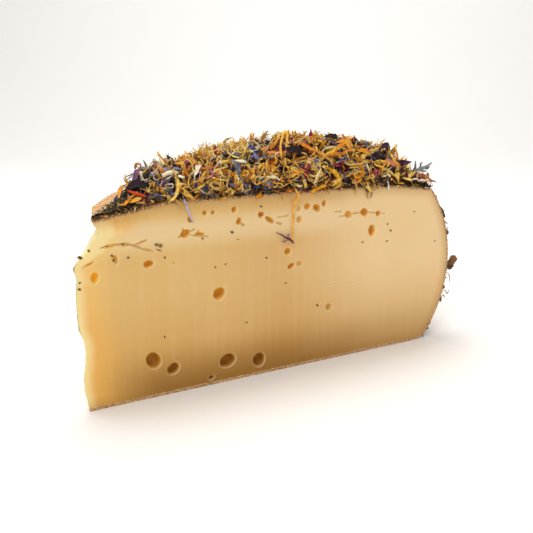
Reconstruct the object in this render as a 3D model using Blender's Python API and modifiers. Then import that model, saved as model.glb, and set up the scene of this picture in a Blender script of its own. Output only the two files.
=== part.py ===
"""A wedge of a mountain cheese wheel, broken at its tip, under a heap of dried petals and herbs.

Metres, +Z up. The wedge is built with the wheel's axis as its own origin: the front cut face runs
from the axis along +X and faces -Y, and the back cut face is turned from it by WEDGE_ANGLE. An empty
then moves both pieces, so that the world's origin lies on the base under the middle of the wedge.
"""

import math
import random

import bmesh
import bpy
from mathutils import Matrix, Vector, noise

MM = 0.001

# The wheel that the wedge is cut from
WEDGE_ANGLE = math.radians(50)
HEIGHT = 72 * MM
RIM_RADIUS = 168.4 * MM
RIM_BULGE = 12.2 * MM
BASE_EDGE_RISE = 1.3 * MM
BASE_FLAT_RADIUS = 149 * MM
CENTRE_SAG = 4.6 * MM
CENTRE_SAG_START = 4 * MM
CENTRE_SAG_REACH = 42 * MM
SHOULDER_DROP = 3.2 * MM
SHOULDER_START = 122 * MM
WHEEL_STEPS = 120
RIM_STEPS = 8

# The wedge's middle, seen from above, which becomes the world's origin
MIDDLE_REACH = 104 * MM

# Where the tip of the front cut face lies out from the wheel's axis; places on the cut faces are
# measured along the face from there
TIP_START = 2 * MM

# The broken tip: how far the break has come in along the front cut face, at each height
BREAK_OUTLINE_MM = (
    (0.0, 1.9), (4.0, 1.5), (8.0, 0.9), (12.0, 0.8), (17.0, 1.6), (22.0, 2.1), (26.5, 1.8), (30.0, 0.4),
    (37.0, 0.2), (44.0, 0.3), (48.0, 1.1), (50.0, 0.7), (51.8, -0.3), (54.3, 2.2), (56.4, 4.6), (58.6, 5.8),
    (60.4, 7.0), (61.6, 8.9), (63.4, 9.1), (65.0, 8.2), (67.5, 6.9),
)  # fmt: skip
BREAK_LEAN = math.radians(14)

# Eyes on the cut faces, in millimetres: along the face, height, width and height of the mouth,
# tilt in degrees, depth
FRONT_EYES_MM = (
    (26.0, 14.4, 5.2, 6.5, 20, 3.0), (33.4, 9.7, 4.9, 3.9, 35, 2.6), (52.5, 35.9, 5.1, 4.3, 32, 2.6),
    (55.5, 8.5, 6.6, 5.2, 8, 3.4), (69.1, 6.2, 5.0, 5.6, 15, 3.0), (25.8, 50.4, 3.6, 2.5, 10, 1.8),
    (6.9, 47.9, 2.6, 3.8, -12, 1.6), (122.6, 53.3, 3.6, 4.8, 0, 2.4), (118.4, 61.3, 4.1, 3.2, -25, 2.0),
    (125.5, 60.2, 2.4, 2.6, -30, 1.4), (110.3, 61.0, 3.6, 3.0, -35, 1.2), (95.1, 64.9, 3.8, 2.7, -30, 1.8),
    (98.4, 66.4, 2.1, 2.5, 0, 1.4), (90.6, 65.8, 2.8, 2.6, 0, 1.2), (87.0, 60.9, 2.7, 2.8, 0, 1.0),
    (70.3, 64.2, 2.7, 2.2, 0, 1.8), (74.0, 61.9, 4.4, 1.8, -35, 1.6), (81.9, 48.8, 2.8, 2.8, 0, 1.6),
    (83.6, 42.7, 3.2, 2.0, 28, 1.4), (101.7, 23.1, 2.4, 2.7, -10, 1.4), (39.8, 59.9, 4.1, 2.8, 25, 1.8),
    (61.0, 62.6, 2.1, 2.8, -10, 1.4),
)  # fmt: skip
BACK_EYES_MM = (
    (30, 52, 3.4, 3.0, 15, 1.8), (44, 20, 5.4, 4.8, 30, 3.0), (58, 61, 3.2, 2.4, -20, 1.4),
    (66, 34, 4.2, 4.6, 10, 2.4), (83, 12, 5.8, 5.0, -15, 3.0), (92, 63, 3.0, 2.6, 0, 1.4),
    (99, 47, 3.2, 2.8, 20, 1.8), (112, 26, 4.6, 4.0, 0, 2.4), (121, 60, 3.6, 3.0, -10, 1.6),
    (134, 41, 2.8, 3.4, 10, 1.6), (75, 57, 2.4, 2.2, 0, 1.2), (128, 14, 3.2, 2.8, 0, 1.8),
)  # fmt: skip
# Slits: both ends along the face and up it, then their width and depth, in millimetres
FRONT_SLITS_MM = (
    (10.5, 58.2, 21.0, 58.0, 1.1, 2.2), (19.0, 58.2, 27.0, 54.8, 0.8, 1.8),
    (21.6, 56.9, 25.2, 58.5, 0.7, 1.4), (104.6, 60.3, 118.0, 61.6, 0.6, 1.2),
    (117.0, 61.6, 129.0, 60.0, 0.6, 1.2), (42.5, 60.0, 47.5, 58.2, 0.9, 1.6),
)  # fmt: skip
EYE_SEGMENTS = 10
EYE_RINGS = 6
# How far the widest section of an eye lies under the cut face, as a share of the eye's depth
EYE_SUNK = 0.25

# The heap of petals on the wedge's top
HEAP_GAP = 0.3 * MM
HEAP_START = 9.5 * MM
HEAP_EDGE_INSET = 0.5 * MM
HEAP_EDGE_HEIGHT = 1.5 * MM
# The strip along the back cut that the heap leaves bare near the tip, and the reaches over which it ends
BARE_STRIP = 7 * MM
BARE_STRIP_FADE = (60 * MM, 100 * MM)
# Height over the cheese, in millimetres: at a distance out, near the front cut, in the middle, near
# the back cut. Near the tip the distance is that of a line parallel to the break, and past the fade
# it is the reach from the wheel's axis.
HEAP_LINE_FADE = (22 * MM, 60 * MM)
HEAP_CREST_MM = (
    (8, 2.8, 2.0, 1.5), (16, 4.2, 3.2, 2.4), (22, 8.6, 6.5, 4.0), (30, 11.4, 10.4, 7.0),
    (50, 12.0, 10.0, 8.5), (70, 15.0, 11.5, 8.4), (90, 19.4, 14.4, 8.8),
    (105, 20.0, 16.4, 9.2), (120, 17.8, 17.6, 10.4), (140, 14.8, 16.4, 11.0), (156, 12.0, 13.0, 10.6),
    (160, 12.0, 12.0, 10.0),
)  # fmt: skip
# Where across the wedge the table's columns blend into each other, as shares of its turn
CREST_FRONT_BLEND = (0.15, 0.55)
CREST_BACK_BLEND = (0.45, 0.9)
# Width of the slopes down to the cuts, near the tip and further out, and where the one becomes the other
HEAP_FRONT_SLOPE = (8 * MM, 14 * MM)
HEAP_BACK_SLOPE = (9 * MM, 24 * MM)
HEAP_SLOPE_FADE = (20 * MM, 75 * MM)
HEAP_HEEL_SLOPE = 17 * MM
HEAP_CORE_SHARE = 0.86
HEAP_CELLS = (30, 12)
HEAP_LUMP = 1.6 * MM
HEAP_LUMP_SIZE = 8 * MM

PETAL_CLEARANCE = 0.55 * MM
PETAL_SEED = 41
PETAL_COUNT = 180
PETAL_START = 22 * MM
PETAL_HEEL_INSET = 3 * MM
# Where the petals lie across the wedge, from and to, and how far they crowd towards the two cuts
PETAL_TURNS = (0.02, 0.98)
PETAL_CROWDING = 0.8
# Kind of piece: share of the heap, length and width from and to, thickness, in millimetres
PETAL_KINDS = (
    (0.56, (9.0, 15.0), (1.5, 2.4), 0.7),
    (0.24, (8.0, 12.0), (2.6, 4.2), 0.8),
    (0.20, (10.0, 16.0), (0.9, 1.2), 0.9),
)
# How a petal lies, from and to: its arch in radians, its cup as a share of its width, its lift over the
# core, and its rise and roll in degrees
PETAL_CURLS = (0.35, 1.0)
PETAL_CUPS = (0.0, 0.5)
PETAL_LIFTS = (0.1 * MM, 0.9 * MM)
PETAL_RISES = (-5, 26)
PETAL_ROLLS = (-34, 34)
PETAL_END_TAPER = 0.62

# Herb flakes and petals stuck on the rind of the heel
FLAKE_SEED = 7
FLAKE_COUNT = 50
FLAKE_SIZE_MM = ((2.6, 6.4), (1.4, 2.8), (0.9, 1.5))
FLAKE_LIFT = 0.15 * MM
# Where the flakes lie, from and to, as shares of the wedge's turn and of its height
FLAKE_TURNS = (0.03, 0.97)
FLAKE_HEIGHTS = (0.07, 0.93)
# The chip of bark by the front cut: shares of the wedge's turn and height, then its size and how far
# its middle stands out of the rind, in millimetres, and its spin in degrees
BARK_CHIP = (0.016, 0.47, (5.0, 5.5, 6.5), 2.4, 14)

# Fractions of a low-discrepancy rule that spreads points evenly over a surface
SPREAD_STEPS = (0.7548776662466927, 0.5698402909980532)

# Plain colours and roughnesses of the two materials
PASTE_LOOK = ((0.80, 0.60, 0.33), 0.45)
PETAL_LOOK = ((0.52, 0.30, 0.10), 0.8)


def smooth(start, end, value):
    """0 before start, 1 after end, and an S-curve between them."""
    share = min(1.0, max(0.0, (value - start) / (end - start)))
    return share * share * (3 - 2 * share)


def between(limits, share):
    """The value at a share of the way between two limits."""
    return limits[0] + (limits[1] - limits[0]) * share


def top_height(reach):
    """Height of the wheel's top at a reach: it sags at the centre and rolls off at the shoulder."""
    sag = CENTRE_SAG * (1 - smooth(CENTRE_SAG_START, CENTRE_SAG_REACH, reach))
    past = max(0.0, reach - SHOULDER_START) / (RIM_RADIUS - RIM_BULGE - SHOULDER_START)
    return HEIGHT - sag - SHOULDER_DROP * past**1.7


def rim_reach(height):
    """Distance of the bulging rim from the axis, an arc that is widest at half the rim's height."""
    top = top_height(RIM_RADIUS - RIM_BULGE)
    half = (top - BASE_EDGE_RISE) / 2
    arc_radius = (half**2 + RIM_BULGE**2) / (2 * RIM_BULGE)
    from_middle = height - BASE_EDGE_RISE - half
    return RIM_RADIUS - arc_radius + math.sqrt(arc_radius**2 - from_middle**2)


def line_reach(out, turn):
    """Reach of a line on the top that is parallel to the break, at a distance out along the front cut."""
    return out / (math.cos(turn) - math.tan(BREAK_LEAN) * math.sin(turn))


def bare_strip(reach):
    """Width of the bare strip along the back cut at a reach."""
    return BARE_STRIP * (1 - smooth(*BARE_STRIP_FADE, reach))


def heap_height(reach, turn):
    """Thickness of the heap above the top at a polar place on the wedge."""
    out = reach / line_reach(1, turn)
    out += (reach - out) * smooth(*HEAP_LINE_FADE, out)
    rows = [row for row in zip(HEAP_CREST_MM, HEAP_CREST_MM[1:]) if row[0][0] * MM <= out]
    before, after = rows[-1] if rows else (HEAP_CREST_MM[0], HEAP_CREST_MM[1])
    share = min(1.0, max(0.0, (out / MM - before[0]) / (after[0] - before[0])))
    front, middle, back = [low + (high - low) * share for low, high in zip(before[1:], after[1:])]
    across = turn / WEDGE_ANGLE
    inner = front + (middle - front) * smooth(*CREST_FRONT_BLEND, across)
    inner += (back - middle) * smooth(*CREST_BACK_BLEND, across)
    widening = smooth(*HEAP_SLOPE_FADE, reach)
    rise = 1.0
    for distance, slopes in (
        (reach * math.sin(turn), HEAP_FRONT_SLOPE),
        (reach * math.sin(WEDGE_ANGLE - turn) - bare_strip(reach), HEAP_BACK_SLOPE),
        (RIM_RADIUS - RIM_BULGE - reach, (HEAP_HEEL_SLOPE, HEAP_HEEL_SLOPE)),
    ):
        slope = slopes[0] + (slopes[1] - slopes[0]) * widening
        rise *= math.sin(math.pi / 2 * min(1.0, max(0.0, distance) / slope))
    return HEAP_EDGE_HEIGHT + (inner * MM - HEAP_EDGE_HEIGHT) * rise


def heap_surface(reach, turn):
    """A point on the core of the heap."""
    height = top_height(reach) + HEAP_CORE_SHARE * heap_height(reach, turn)
    return Vector((reach * math.cos(turn), reach * math.sin(turn), height))


def heap_frame(reach, turn):
    """A place on the heap's core, with X and Y in its slope and Z out of it."""
    step = 1.5 * MM
    outward = heap_surface(reach + step, turn) - heap_surface(reach - step, turn)
    around = heap_surface(reach, turn + step / reach) - heap_surface(reach, turn - step / reach)
    normal = outward.cross(around).normalized()
    first = outward.normalized()
    axes = Matrix((first, normal.cross(first), normal)).transposed().to_4x4()
    return Matrix.Translation(heap_surface(reach, turn)) @ axes


def clear_scene():
    for old in list(bpy.data.objects):
        bpy.data.objects.remove(old, do_unlink=True)


def collection(name, shown=True):
    made = bpy.data.collections.new(name)
    made.hide_render = not shown
    bpy.context.scene.collection.children.link(made)
    return made


def material(name, colour, roughness):
    made = bpy.data.materials.new(name)
    made.use_nodes = True
    shader = made.node_tree.nodes["Principled BSDF"]
    shader.inputs["Base Color"].default_value = (*colour, 1)
    shader.inputs["Roughness"].default_value = roughness
    return made


def face_outwards(form):
    form.normal_update()
    bmesh.ops.recalc_face_normals(form, faces=form.faces[:])


def object_of(name, form, home):
    """An object in a collection from a bmesh, split into triangles, as a Boolean needs flat faces."""
    bmesh.ops.triangulate(form, faces=form.faces[:])
    mesh = bpy.data.meshes.new(name)
    form.to_mesh(mesh)
    form.free()
    made = bpy.data.objects.new(name, mesh)
    home.objects.link(made)
    if home.hide_render:
        made.hide_render = True
        made.display_type = "WIRE"
    return made


def freeze(target):
    """Applies the modifiers of an object."""
    bpy.context.view_layer.update()
    graph = bpy.context.evaluated_depsgraph_get()
    applied = bpy.data.meshes.new_from_object(target.evaluated_get(graph))
    target.modifiers.clear()
    target.data = applied


def combine(target, others, operation, solver="EXACT"):
    """Joins a whole collection to an object, or cuts it away, then removes the collection's objects."""
    joint = target.modifiers.new(operation.lower(), "BOOLEAN")
    joint.operand_type = "COLLECTION"
    joint.collection = others
    joint.operation = operation
    joint.solver = solver
    freeze(target)
    for used in list(others.objects):
        bpy.data.objects.remove(used, do_unlink=True)


def largest_piece(target):
    """Keeps the largest connected shell of an object, which drops loose scraps and fills sealed hollows."""
    form = bmesh.new()
    form.from_mesh(target.data)
    waiting = set(form.verts)
    shells = []
    while waiting:
        shell = set()
        reached = [next(iter(waiting))]
        while reached:
            vertex = reached.pop()
            if vertex in shell:
                continue
            shell.add(vertex)
            reached.extend(edge.other_vert(vertex) for edge in vertex.link_edges)
        waiting -= shell
        shells.append(shell)
    largest = max(shells, key=len)
    bmesh.ops.delete(form, geom=[v for v in form.verts if v not in largest], context="VERTS")
    form.to_mesh(target.data)
    form.free()


def wheel_profile():
    """(reach, height) points of half the wheel's section: out from its axis, down and back in."""
    tops = [0, 8 * MM, 16 * MM, 24 * MM, 32 * MM, CENTRE_SAG_REACH, SHOULDER_START, 134 * MM, 145 * MM]
    points = [(reach, top_height(reach)) for reach in tops]
    rim_top = top_height(RIM_RADIUS - RIM_BULGE)
    for step in range(RIM_STEPS + 1):
        height = rim_top + (BASE_EDGE_RISE - rim_top) * step / RIM_STEPS
        points.append((rim_reach(height), height))
    points.append((151 * MM, 0.3 * MM))
    points.append((BASE_FLAT_RADIUS, 0.0))
    points.append((0.0, 0.0))
    return points


def make_wheel(home):
    form = bmesh.new()
    points = [form.verts.new((reach, 0, height)) for reach, height in wheel_profile()]
    for first, second in zip(points, points[1:]):
        form.edges.new((first, second))
    wheel = object_of("cheese", form, home)
    turn = wheel.modifiers.new("turn", "SCREW")
    turn.axis = "Z"
    turn.steps = turn.render_steps = WHEEL_STEPS
    turn.use_merge_vertices = True
    turn.merge_threshold = 0.00001
    freeze(wheel)
    return wheel


def wedge_block(home):
    """A wedge-shaped prism, larger than the wheel, that keeps what lies between the two cuts."""
    reach = 1.3 * RIM_RADIUS
    form = bmesh.new()
    bmesh.ops.create_cone(form, cap_ends=True, segments=3, radius1=1, radius2=1, depth=2 * HEIGHT)
    back_corner = reach * Vector((math.cos(WEDGE_ANGLE), math.sin(WEDGE_ANGLE)))
    corners = [Vector((0, 0)), Vector((reach, 0)), back_corner]
    around = sorted({round(math.atan2(v.co.y, v.co.x), 3) for v in form.verts})
    for vertex in form.verts:
        corner = corners[around.index(round(math.atan2(vertex.co.y, vertex.co.x), 3))]
        vertex.co = (*corner, vertex.co.z + HEIGHT / 2)
    return object_of("wedge_block", form, home)


def broken_tip(home):
    """What has broken away at the tip: an outline in the front face, pulled back through the cheese."""
    past_top, past_base, far, depth, before = 80 * MM, -5 * MM, -30 * MM, 40 * MM, -2 * MM
    drawn = [(TIP_START + along * MM, height * MM) for height, along in BREAK_OUTLINE_MM]
    ends = (drawn[0][0], past_base), (drawn[-1][0], past_top)
    outline = [(far, past_base), ends[0], *drawn, ends[1], (far, past_top)]
    form = bmesh.new()
    bmesh.ops.create_circle(form, cap_ends=True, segments=len(outline), radius=1)
    for vertex, (along, height) in zip(form.verts, outline):
        vertex.co = (along, before, height)
    face = bmesh.ops.extrude_face_region(form, geom=form.faces[:])
    pulled = [piece for piece in face["geom"] if isinstance(piece, bmesh.types.BMVert)]
    ragged, wave = 0.5 * MM, 7 * MM
    for vertex in pulled:
        vertex.co.y += depth
        vertex.co.x += depth * math.tan(BREAK_LEAN) + ragged * math.sin(math.tau * vertex.co.z / wave)
    face_outwards(form)
    return object_of("broken_tip", form, home)


def face_frame(turn, outward):
    """Axes along a cut face, out of it and up."""
    along = Vector((math.cos(turn), math.sin(turn), 0))
    return Matrix((along, outward, Vector((0, 0, 1)))).transposed().to_4x4()


def eye_cutter(name, frame, along, height, wide, tall, tilt, depth, home):
    """A cutter for one eye: an ellipsoid whose widest section lies a little under the cut face."""
    form = bmesh.new()
    bmesh.ops.create_uvsphere(form, u_segments=EYE_SEGMENTS, v_segments=EYE_RINGS, radius=1)
    under = EYE_SUNK * depth
    reach = depth - under
    mouth = math.sqrt(1 - (under / reach) ** 2)
    size = Matrix.Diagonal((wide / 2 / mouth, reach, tall / 2 / mouth, 1))
    upright = Matrix.Rotation(math.radians(90), 4, "X")
    turned = Matrix.Rotation(-math.radians(tilt), 4, "Y")
    place = Matrix.Translation(Vector((TIP_START + along, -under, height)))
    form.transform(frame @ place @ turned @ size @ upright)
    face_outwards(form)
    return object_of(name, form, home)


def cut_eyes(cheese, home):
    front = face_frame(0.0, Vector((0, -1, 0)))
    back_out = Vector((-math.sin(WEDGE_ANGLE), math.cos(WEDGE_ANGLE), 0))
    back = face_frame(WEDGE_ANGLE, back_out)
    for frame, eyes in ((front, FRONT_EYES_MM), (back, BACK_EYES_MM)):
        for eye in eyes:
            along, height, wide, tall, tilt, depth = eye
            eye_cutter("eye", frame, along * MM, height * MM, wide * MM, tall * MM, tilt, depth * MM, home)
    for slit in FRONT_SLITS_MM:
        along, height, end_along, end_height, wide, depth = slit
        length = math.hypot(end_along - along, end_height - height)
        tilt = math.degrees(math.atan2(end_height - height, end_along - along))
        middle = (along + end_along) / 2 * MM, (height + end_height) / 2 * MM
        eye_cutter("slit", front, *middle, length * MM, wide * MM, tilt, depth * MM, home)
    combine(cheese, home, "DIFFERENCE", "MANIFOLD")


def chip(name, size, place, home):
    """A block with its edges drawn in towards one end, for a flake of herb or a chip of bark."""
    end_taper, top_taper = 0.45, 0.75
    form = bmesh.new()
    bmesh.ops.create_cube(form, size=1)
    for vertex in form.verts:
        if vertex.co.x > 0:
            vertex.co.y *= end_taper
        if vertex.co.z > 0:
            vertex.co.xy *= top_taper
    form.transform(place @ Matrix.Diagonal((*size, 1)))
    return object_of(name, form, home)


def rind_place(turn, height, spin, lift):
    """A place on the heel's rind: X and Y lie in the rind, Z points out of it."""
    reach = rim_reach(height)
    slope = (rim_reach(height + MM) - rim_reach(height - MM)) / (2 * MM)
    outward = Vector((math.cos(turn), math.sin(turn), -slope)).normalized()
    sideways = Vector((-math.sin(turn), math.cos(turn), 0))
    axes = Matrix((sideways, outward.cross(sideways), outward)).transposed().to_4x4()
    at = Vector((reach * math.cos(turn), reach * math.sin(turn), height)) + lift * outward
    return Matrix.Translation(at) @ axes @ Matrix.Rotation(spin, 4, "Z")


def stick_flakes(cheese, home):
    """Flakes spread evenly over the heel, sunk a little into its rind."""
    rng = random.Random(FLAKE_SEED)
    for count in range(FLAKE_COUNT):
        turn = between(FLAKE_TURNS, count * SPREAD_STEPS[0] % 1) * WEDGE_ANGLE
        height = between(FLAKE_HEIGHTS, count * SPREAD_STEPS[1] % 1) * HEIGHT
        size = [rng.uniform(*limits) * MM for limits in FLAKE_SIZE_MM]
        place = rind_place(turn, height, rng.uniform(0, math.tau), FLAKE_LIFT)
        chip("flake", size, place, home)
    turn_share, height_share, size, lift, spin = BARK_CHIP
    place = rind_place(turn_share * WEDGE_ANGLE, height_share * HEIGHT, math.radians(spin), lift * MM)
    chip("bark", [side * MM for side in size], place, home)
    combine(cheese, home, "UNION", "MANIFOLD")


def make_cheese(home, cutters, toppings):
    cheese = make_wheel(home)
    wedge_block(cutters)
    combine(cheese, cutters, "INTERSECT")
    broken_tip(cutters)
    combine(cheese, cutters, "DIFFERENCE")
    cut_eyes(cheese, cutters)
    stick_flakes(cheese, toppings)
    largest_piece(cheese)
    cheese.data.materials.clear()
    cheese.data.materials.append(material("cheese_paste", *PASTE_LOOK))
    cheese.data.set_sharp_from_angle(angle=math.radians(30))
    return cheese


def heap_core(home):
    """The heap without its loose pieces: a grid over the wedge's top, pulled up to the heap's height."""
    form = bmesh.new()
    rows, columns = HEAP_CELLS
    bmesh.ops.create_grid(form, x_segments=rows, y_segments=columns, size=0.5)
    face = bmesh.ops.extrude_face_region(form, geom=form.faces[:])
    upper = {piece for piece in face["geom"] if isinstance(piece, bmesh.types.BMVert)}
    end = RIM_RADIUS - RIM_BULGE - HEAP_EDGE_INSET
    for vertex in form.verts:
        across = vertex.co.y + 0.5
        start = line_reach(HEAP_START, WEDGE_ANGLE * across)
        reach = start + (end - start) * (vertex.co.x + 0.5)
        front_margin = math.asin(HEAP_EDGE_INSET / reach)
        back_margin = math.asin((HEAP_EDGE_INSET + bare_strip(reach)) / reach)
        turn = front_margin + (WEDGE_ANGLE - front_margin - back_margin) * across
        at = Vector((reach * math.cos(turn), reach * math.sin(turn), top_height(reach) + HEAP_GAP))
        if vertex in upper:
            thick = HEAP_CORE_SHARE * heap_height(reach, turn)
            lump = noise.noise(at / HEAP_LUMP_SIZE) * HEAP_LUMP * smooth(2 * MM, 6 * MM, thick)
            at.z += thick + lump
        vertex.co = at
    face_outwards(form)
    return object_of("flower_topping", form, home)


def petal(name, length, width, thick, curl, cup, place, home):
    """One dried petal: a bar in two lengths, drawn in at its ends, arched along its length and cupped.

    Any point of it that would lie in the cheese is lifted to just above the cheese's top.
    """
    form = bmesh.new()
    bmesh.ops.create_cube(form, size=1)
    lengthwise = [e for e in form.edges if abs(e.verts[0].co.x - e.verts[1].co.x) > 0.5]
    bmesh.ops.subdivide_edges(form, edges=lengthwise, cuts=1)
    form.verts.index_update()
    lower = {vertex.index for vertex in form.verts if vertex.co.z < 0}
    radius = length / (2 * curl)
    for vertex in form.verts:
        share = 2 * vertex.co.x
        breadth = width * (1 - PETAL_END_TAPER * share**2)
        bend = curl * share
        side = vertex.co.y * breadth
        above = vertex.co.z * thick + cup * abs(vertex.co.y) * breadth
        rise = (radius - above) * (1 - math.cos(bend)) + above
        vertex.co = ((radius - above) * math.sin(bend), side, rise)
    form.transform(place)
    for vertex in form.verts:
        reach = min(math.hypot(vertex.co.x, vertex.co.y), RIM_RADIUS - RIM_BULGE)
        lowest = top_height(reach) + PETAL_CLEARANCE + (0 if vertex.index in lower else thick)
        vertex.co.z = max(vertex.co.z, lowest)
    return object_of(name, form, home)


def strew_petals(home):
    """Petals spread evenly over the heap, lying or standing a little proud of it."""
    rng = random.Random(PETAL_SEED)
    end = RIM_RADIUS - RIM_BULGE - PETAL_HEEL_INSET
    for count in range(PETAL_COUNT):
        share = count * SPREAD_STEPS[1] % 1
        to_cuts = 0.5 - 0.5 * math.cos(math.pi * share)
        crowded = share + (to_cuts - share) * PETAL_CROWDING
        turn = between(PETAL_TURNS, crowded) * WEDGE_ANGLE
        start = line_reach(PETAL_START, turn)
        reach = math.sqrt(start**2 + (end**2 - start**2) * (count * SPREAD_STEPS[0] % 1))
        turn = min(turn, WEDGE_ANGLE - math.asin(bare_strip(reach) / reach))
        drawn = rng.random()
        kind = 0 if drawn < PETAL_KINDS[0][0] else 1 if drawn < PETAL_KINDS[0][0] + PETAL_KINDS[1][0] else 2
        lengths, widths, thick = PETAL_KINDS[kind][1:]
        size = rng.uniform(*lengths) * MM, rng.uniform(*widths) * MM, thick * MM
        curl = rng.uniform(*PETAL_CURLS) * rng.choice((-1, 1))
        spin = Matrix.Rotation(rng.uniform(0, math.tau), 4, "Z")
        rise = Matrix.Rotation(-math.radians(rng.uniform(*PETAL_RISES)), 4, "Y")
        roll = Matrix.Rotation(math.radians(rng.uniform(*PETAL_ROLLS)), 4, "X")
        lift = Matrix.Translation((0, 0, rng.uniform(*PETAL_LIFTS)))
        place = heap_frame(reach, turn) @ lift @ spin @ rise @ roll
        petal("petal", *size, curl, rng.uniform(*PETAL_CUPS), place, home)


def make_heap(home, toppings):
    heap = heap_core(home)
    strew_petals(toppings)
    combine(heap, toppings, "UNION", "MANIFOLD")
    largest_piece(heap)
    heap.data.materials.clear()
    heap.data.materials.append(material("dried_petals", *PETAL_LOOK))
    return heap


def main():
    clear_scene()
    food = collection("cheese_wedge")
    cutters = collection("cutters", shown=False)
    toppings = collection("toppings", shown=False)
    centre = bpy.data.objects.new("wheel_axis", None)
    food.objects.link(centre)
    centre.location = (
        -MIDDLE_REACH * math.cos(WEDGE_ANGLE / 2),
        -MIDDLE_REACH * math.sin(WEDGE_ANGLE / 2),
        0,
    )
    for piece in (make_cheese(food, cutters, toppings), make_heap(food, toppings)):
        piece.parent = centre


main()
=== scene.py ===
"""The looks of the cheese wedge: pale paste with eyes and a ragged tip, a rind dusted with herbs, and
a heap of dried petals.

Shapes are worked out in millimetres about the wheel's axis, with the shown cut face along +X, and are
moved to the frame of the solids when they become meshes.
"""

import itertools
import math
import random

import bmesh
import bpy
import numpy as np
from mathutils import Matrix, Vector


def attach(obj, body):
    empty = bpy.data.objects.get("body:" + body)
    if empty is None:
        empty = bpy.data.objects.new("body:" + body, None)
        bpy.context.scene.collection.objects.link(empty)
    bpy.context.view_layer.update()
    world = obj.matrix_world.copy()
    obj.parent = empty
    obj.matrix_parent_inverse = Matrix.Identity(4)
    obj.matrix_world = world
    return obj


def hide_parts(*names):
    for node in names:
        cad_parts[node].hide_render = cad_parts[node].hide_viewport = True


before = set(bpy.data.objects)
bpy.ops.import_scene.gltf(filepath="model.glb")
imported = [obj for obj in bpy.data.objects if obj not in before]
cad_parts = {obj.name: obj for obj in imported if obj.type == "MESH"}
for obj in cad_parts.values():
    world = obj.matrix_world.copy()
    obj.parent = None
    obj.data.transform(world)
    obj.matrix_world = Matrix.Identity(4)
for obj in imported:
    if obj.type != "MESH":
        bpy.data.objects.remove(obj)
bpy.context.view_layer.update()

MM = 0.001
# Points nearer than this, in metres, become one
WELD_DISTANCE = 0.000002

# Whole numbers that mix a lattice corner's place and a seed into a random value
LATTICE_FACTORS = (374761393, 668265263, 1440662683)
SEED_FACTOR = 982451653
MIXING_FACTOR = 1274126177
LOW_BITS = 0xFFFFFFFF
# Steps of the even rule for places on a surface: the plastic number to the power -1 and -2
EVEN_STEPS = (0.7548776662466927, 0.5698402909980532)

# The wheel and the wedge, in millimetres, as the solids have them
WEDGE_ANGLE = math.radians(50)
HEIGHT = 72.0
RIM_RADIUS = 168.4
RIM_BULGE = 12.2
SHOULDER = RIM_RADIUS - RIM_BULGE
BASE_EDGE_RISE = 1.3
BASE_FLAT_RADIUS = 149.0
CENTRE_SAG = 4.6
CENTRE_SAG_REACH = 42.0
SHOULDER_DROP = 3.2
SHOULDER_START = 122.0
MIDDLE_REACH = 104.0
TIP_START = 2.0
BREAK_LEAN = math.radians(14)
BREAK_OUTLINE = np.array([
    (0.0, 1.9), (4.0, 1.5), (8.0, 0.9), (12.0, 0.8), (17.0, 1.6), (22.0, 2.1), (26.5, 1.8), (30.0, 0.4),
    (37.0, 0.2), (44.0, 0.3), (48.0, 1.1), (50.0, 0.7), (51.8, -0.3), (54.3, 2.2), (56.4, 4.6),
    (58.6, 5.8),
    (60.4, 7.0), (61.6, 8.9), (63.4, 9.1), (65.0, 8.2), (67.5, 6.9),
])

# Eyes: along the face from its tip, height, width, height of the mouth, tilt in degrees, depth
FRONT_EYES = (
    (26.0, 14.4, 5.2, 6.5, 20, 3.2), (33.4, 9.7, 4.9, 3.9, 35, 2.8), (52.5, 35.9, 5.1, 4.3, 32, 2.8),
    (55.5, 8.5, 6.6, 5.2, 8, 3.4), (69.1, 6.2, 5.0, 5.6, 15, 3.2), (25.8, 50.4, 3.6, 2.5, 10, 1.8),
    (6.9, 47.9, 2.6, 3.8, -12, 1.5), (122.6, 53.3, 3.6, 4.8, 0, 2.6), (118.4, 61.3, 4.1, 3.2, -25, 2.2),
    (125.5, 60.2, 2.4, 2.6, -30, 1.6), (110.3, 61.0, 3.6, 3.0, -35, 1.3), (95.1, 64.9, 3.8, 2.7, -30, 2.0),
    (98.4, 66.4, 2.1, 2.5, 0, 1.6), (90.6, 65.8, 2.8, 2.6, 0, 1.4), (87.0, 60.9, 2.7, 2.8, 0, 1.0),
    (70.3, 64.2, 2.7, 2.2, 0, 2.0), (74.0, 61.9, 4.4, 1.8, -35, 1.8), (81.9, 48.8, 2.8, 2.8, 0, 1.6),
    (83.6, 42.7, 3.2, 2.0, 28, 1.6), (87.3, 43.2, 2.8, 2.0, 0, 0.8), (101.7, 23.1, 3.0, 2.8, -10, 1.0),
    (39.8, 59.9, 4.1, 2.8, 25, 1.8), (61.0, 62.6, 2.1, 2.8, -10, 1.6), (59.0, 67.0, 2.0, 2.2, 0, 1.4),
    (47.4, 66.7, 1.7, 1.8, 0, 1.2), (50.6, 66.6, 1.6, 1.5, 0, 1.1), (41.5, 64.8, 1.5, 2.1, 0, 1.0),
    (86.7, 65.2, 2.3, 2.3, 0, 0.7), (14.3, 53.4, 1.5, 3.1, 10, 1.1), (48.4, 3.0, 2.1, 1.6, 0, 1.2),
    (5.7, 52.8, 2.3, 1.1, 25, 0.9), (45.4, 59.1, 3.9, 1.6, -12, 1.3), (62.4, 61.2, 2.4, 1.1, -35, 0.9),
)
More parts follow.
